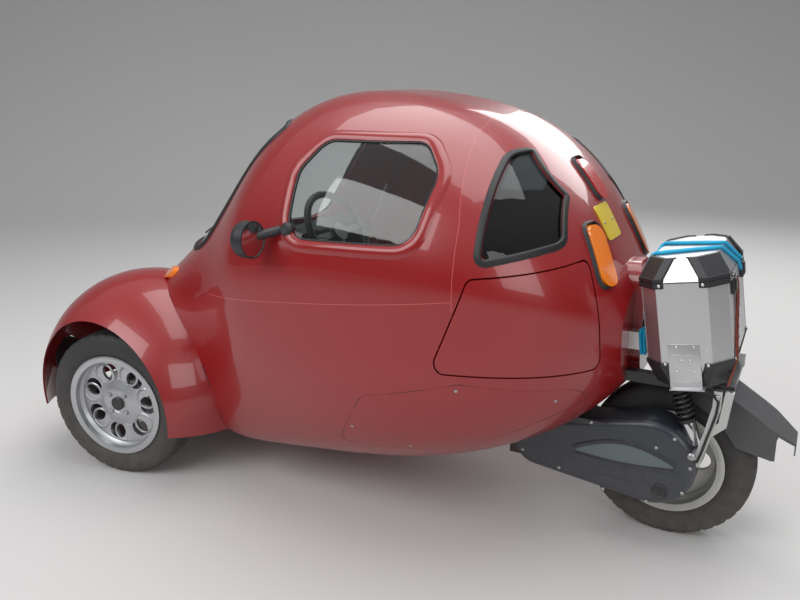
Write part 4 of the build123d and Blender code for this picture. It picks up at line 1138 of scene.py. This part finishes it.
class CAR_OT_drive(bpy.types.Operator):
    """Dress the drive cover, the engine and the shock absorbers"""

    bl_idname = "car.drive"
    bl_label = "Drive"

    def execute(self, context):
        self.cover()
        self.shocks()
        self.engine()
        return {"FINISHED"}

    def cover(self):
        """The eye panel, its ridge, the blank badge place, screws and plug."""
        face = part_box("drive_cover")[0].y * 1000
        out = Vector((0, -1, 0))
        left, right = (Vector(end) for end in COVER_EYE)
        upper, lower = [], []
        for share in range(25):
            t = share / 24
            base = left.lerp(right, t)
            upper.append(base + Vector((0, 45 * math.sin(math.pi * t) ** 0.9)))
            lower.append(base + Vector((0, -2 - 11 * math.sin(math.pi * t))))
        rim = upper + list(reversed(lower))
        count = len(rim)
        verts = [place(point.x, face - 1.5, point.y) for point in rim]
        verts += [place(point.x, face + 3, point.y) for point in grown(rim, 4)]
        faces = grid_faces(2, count, False)
        faces += [[step, step + 1, count - 2 - step, count - 1 - step] for step in range(count // 2 - 1)]
        piece("cover_eye", [(verts, faces)], "cover eye")
        badge = rounded(COVER_BADGE, 6, 3)
        ridge = [place(point.x, face - 0.5, point.y) for point in grown(rim, 12)]
        parts = [tube(ridge, 0.004, 8, closed=True),
                 tube([place(point.x, face, point.y) for point in badge], 0.0018, 6, closed=True)]
        for step in range(4):
            line = []
            for share in range(12):
                t = share / 11
                line.append(place(1530 + 330 * t, face + 8 - 4 * math.sin(math.pi * t),
                                  388 + 10 * step * (1 - t) + 62 * t - 30 * t * t))
            parts.append(tube(line, 0.004, 6))
        piece("cover_ridges", parts, "cover plastic")
        heads = [button(place(x, face + 2, z), out, 0.006, 0.004) for x, z in COVER_SCREWS]
        piece("cover_screws", heads, "turned steel")
        plug_form = [(-2, 24), (3, 24), (5, 21), (2, 17), (2, 6), (5, 4), (5, 0.001)]
        plug = lathe(plug_form, place(COVER_PLUG[0], face, COVER_PLUG[1]), out, 32)
        piece("cover_plug", [plug], "black plastic")

    def shocks(self):
        """Coil springs over black bodies with bright lower tubes."""
        springs, bodies, bright = [], [], []
        for hand in (-1, 1):
            foot, top = sided(SHOCK_FOOT, hand), sided(SHOCK_TOP, hand)
            axis = (top - foot).normalized()
            length = (top - foot).length * 1000
            bright.append(lathe([(4, 14), (4, 21), (8, 23), (78, 23), (84, 21), (88, 14)], foot, axis, 36))
            bodies.append(lathe([(80, 12), (80, 27), (86, 29), (92, 29), (94, 13), (length - 14, 13),
                                 (length - 14, 28), (length - 4, 28), (length, 20)], foot, axis, 36))
            line = []
            for step in range(SPRING_STEPS + 1):
                t = step / SPRING_STEPS
                along = foot + axis * (0.095 + (length / 1000 - 0.112) * t)
                line.append(round_point(along, axis, 2 * math.pi * SPRING_TURNS * t, 0.0265))
            springs.append(tube(line, 0.0046, 8))
        spring = piece("shock_springs", springs, "black steel")
        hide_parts("shocks")
        piece("shock_bodies", bodies, "black plastic")
        piece("shock_tubes", bright, "bright chrome")

    def engine(self):
        """Fins and bolts on the engine, and the cable along the bracket."""
        low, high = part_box("engine")
        fins = []
        for step in range(9):
            z = low.z + 0.03 + step * 0.018
            ends = ((low.x - 0.012, low.y + 0.02, z), (low.x + 0.08, high.y - 0.01, z + 0.005))
            fins.append(soft_block(*ends, 0.0015, 1))
        piece("engine_fins", fins, "engine cast")
        route = [place(*spot) for spot in CABLE_ROUTE]
        smooth = [start.lerp(end, share / 4) for start, end in zip(route, route[1:]) for share in range(4)]
        smooth.append(route[-1])
        piece("bracket_cable", [tube(smooth, 0.004, 8)], "black rubber")
        bolts = [button(place(*spot), Vector((0, -1, 0)), radius, height)
                 for spot, radius, height in BRACKET_BOLTS]
        piece("bracket_bolts", bolts, "turned steel")
        centre = place(*SILENCER_END)
        axis = (centre - place(*SILENCER_START)).normalized()
        bands = [ring([(off - 9, 52.3), (off - 9, 54), (off + 9, 54), (off + 9, 52.3)], centre, axis, 48)
                 for off in (-40, -330)]
        bands.append(lathe([(-1, 44), (3, 40), (3, 16), (12, 15), (12, 12), (-10, 12)], centre, axis, 40))
        piece("silencer_bands", bands, "turned steel")


class CAR_OT_cab(bpy.types.Operator):
    """Build the padded seat and the dials"""

    bl_idname = "car.cab"
    bl_label = "Cab"

    def execute(self, context):
        parts = [self.pad(*SEAT_CUSHION, 0), self.pad(*SEAT_BACK, 0.16),
                 soft_block(place(*SEAT_BASE[0]), place(*SEAT_BASE[1]), 0.02)]
        seat = piece("seat_pads", parts, "seat cloth", "body", 60)
        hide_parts("seat")
        dials = []
        faces = []
        for spot in DIALS:
            centre = place(*spot)
            axis = Vector((1, 0, 0.2))
            dials.append(ring([(-6, 40), (4, 40), (6, 37), (4, 35), (-6, 35)], centre, axis, 40))
            faces.append(lathe([(-4, 35), (1, 35), (1, 0.001)], centre, axis, 40))
        piece("dial_rings", dials, "bright chrome")
        piece("dial_faces", faces, "dial face")
        return {"FINISHED"}

    def pad(self, low, high, lean):
        """A crowned cushion with piping channels across it, drawn in between its corners."""
        crown, pinch = 0.45, 0.035
        made = bmesh.new()
        bmesh.ops.create_cube(made, size=2)
        bmesh.ops.subdivide_edges(made, edges=made.edges, cuts=11, use_grid_fill=True)
        size = [(b - a) / 2000 for a, b in zip(low, high)]
        middle = place((low[0] + high[0]) / 2, (low[1] + high[1]) / 2, (low[2] + high[2]) / 2)
        thin = min(range(3), key=lambda index: size[index])
        for vert in made.verts:
            point = list(vert.co)
            edge = max(abs(point[index]) for index in range(3) if index != thin)
            channel = 1 - 0.12 * max(0, math.cos(point[1] * math.pi * 3.5)) ** 8
            point[thin] *= (1 - edge ** 4 * crown) * channel
            for index in range(3):
                if index != thin:
                    point[index] *= 1 - pinch * abs(vert.co[thin]) ** 3
            spot = Vector([point[index] * size[index] for index in range(3)]) + middle
            spot.x += lean * (spot.z - middle.z) * 0.4
            vert.co = spot
        return form_of(made)


class CAR_OT_stage(bpy.types.Operator):
    """Set the floor, the lights, the world and the camera"""

    bl_idname = "car.stage"
    bl_label = "Stage"

    def execute(self, context):
        self.floor(context)
        self.lights()
        self.world()
        self.camera(context)
        context.scene.view_settings.view_transform = "Standard"
        return {"FINISHED"}

    def floor(self, context):
        """A pale floor that curves up behind the car."""
        verts, faces = [], []
        bend = [math.radians(degrees) for degrees in range(10, 91, 10)]
        profile = [(FLOOR_NEAR, 0), (FLOOR_BEND, 0)]
        profile += [(FLOOR_BEND + FLOOR_RADIUS * math.sin(turn), FLOOR_RADIUS - FLOOR_RADIUS * math.cos(turn))
                    for turn in bend]
        profile.append((FLOOR_BEND + FLOOR_RADIUS, 9))
        turn = Quaternion((0, 0, 1), FLOOR_TURN)
        for along, up in profile:
            for side in (-FLOOR_HALF, FLOOR_HALF):
                verts.append(turn @ Vector((side, along, up)))
        for row in range(len(profile) - 1):
            faces.append([row * 2, row * 2 + 1, row * 2 + 3, row * 2 + 2])
        mesh = mesh_of("studio_floor", verts, faces)
        mesh.shade_smooth()
        floor = added("studio_floor", mesh)
        material, tree, shader = new_material("studio floor")
        fill_sockets(tree, shader, {"Base Color": (*context.scene.car_colours.floor, 1), "Roughness": 0.85})
        mesh.materials.append(material)

    def lights(self):
        """Soft boxes over and beside the car."""
        for name, (spot, wide, tall, power) in LIGHTS.items():
            light = bpy.data.lights.new(name, "AREA")
            light.shape = "RECTANGLE"
            light.size = wide
            light.size_y = tall
            light.energy = power
            lamp = added(name, light)
            lamp.location = spot
            lamp.rotation_euler = (LIGHTS_AIM - Vector(spot)).to_track_quat("-Z", "Y").to_euler()

    def world(self):
        """A pale sky that brightens upwards."""
        world = bpy.data.worlds.new("studio")
        bpy.context.scene.world = world
        world.use_nodes = True
        tree = world.node_tree
        coords = add_node(tree, "TexCoord", {}).outputs["Generated"]
        height = add_node(tree, "SeparateXYZ", {0: coords}).outputs["Z"]
        ramp = add_node(tree, "ValToRGB", {"Fac": height})
        for element, (position, colour) in zip(ramp.color_ramp.elements, SKY):
            element.position = position
            element.color = colour
        back = tree.nodes["Background"]
        fill_sockets(tree, back, {"Color": ramp.outputs["Color"], "Strength": SKY_STRENGTH})

    def camera(self, context):
        """The photograph's view."""
        data = bpy.data.cameras.new("view")
        data.lens = context.scene.car_sizes.lens
        data.sensor_width = 36
        camera = added("view", data)
        ahead = Vector(CAMERA_AHEAD).normalized()
        right = ahead.cross(Vector((0, 0, 1))).normalized()
        up = right.cross(ahead)
        roll = math.asin(CAMERA_TILT / up.z)
        tilted = right * math.cos(roll) + up * math.sin(roll)
        up = tilted.cross(ahead)
        turn = Matrix((tilted, up, -ahead)).transposed().to_4x4()
        camera.matrix_world = Matrix.Translation(Vector(CAMERA_SPOT)) @ turn
        context.scene.camera = camera


class CAR_PT_dress(bpy.types.Panel):
    """Lists the car's colours, sizes and groups of pieces"""

    bl_idname = "CAR_PT_dress"
    bl_label = "Car dress"
    bl_space_type = "VIEW_3D"
    bl_region_type = "UI"
    bl_category = "Car"

    def draw(self, context):
        layout = self.layout
        for group in (context.scene.car_colours, context.scene.car_sizes):
            for name in group.__annotations__:
                layout.prop(group, name)
        for operator in OPERATORS:
            layout.operator(operator.bl_idname)


OPERATORS = (CAR_OT_finishes, CAR_OT_seams, CAR_OT_window_trim, CAR_OT_front_wheels, CAR_OT_rear_wheel,
             CAR_OT_lamps, CAR_OT_mirrors, CAR_OT_pannier, CAR_OT_drive, CAR_OT_cab, CAR_OT_stage)
CLASSES = (CarColours, CarSizes) + OPERATORS + (CAR_PT_dress,)


def register():
    """Add the classes and the settings."""
    for item in CLASSES:
        bpy.utils.register_class(item)
    bpy.types.Scene.car_colours = bpy.props.PointerProperty(type=CarColours)
    bpy.types.Scene.car_sizes = bpy.props.PointerProperty(type=CarSizes)


def unregister():
    """Take the settings and the classes away."""
    del bpy.types.Scene.car_sizes
    del bpy.types.Scene.car_colours
    for item in reversed(CLASSES):
        bpy.utils.unregister_class(item)


def main():
    """Dress the car."""
    register()
    bpy.ops.car.finishes()
    bpy.ops.car.seams()
    bpy.ops.car.window_trim()
    bpy.ops.car.front_wheels()
    bpy.ops.car.rear_wheel()
    bpy.ops.car.lamps()
    bpy.ops.car.mirrors()
    bpy.ops.car.pannier()
    bpy.ops.car.drive()
    bpy.ops.car.cab()
    bpy.ops.car.stage()


if __name__ == "__main__":
    main()
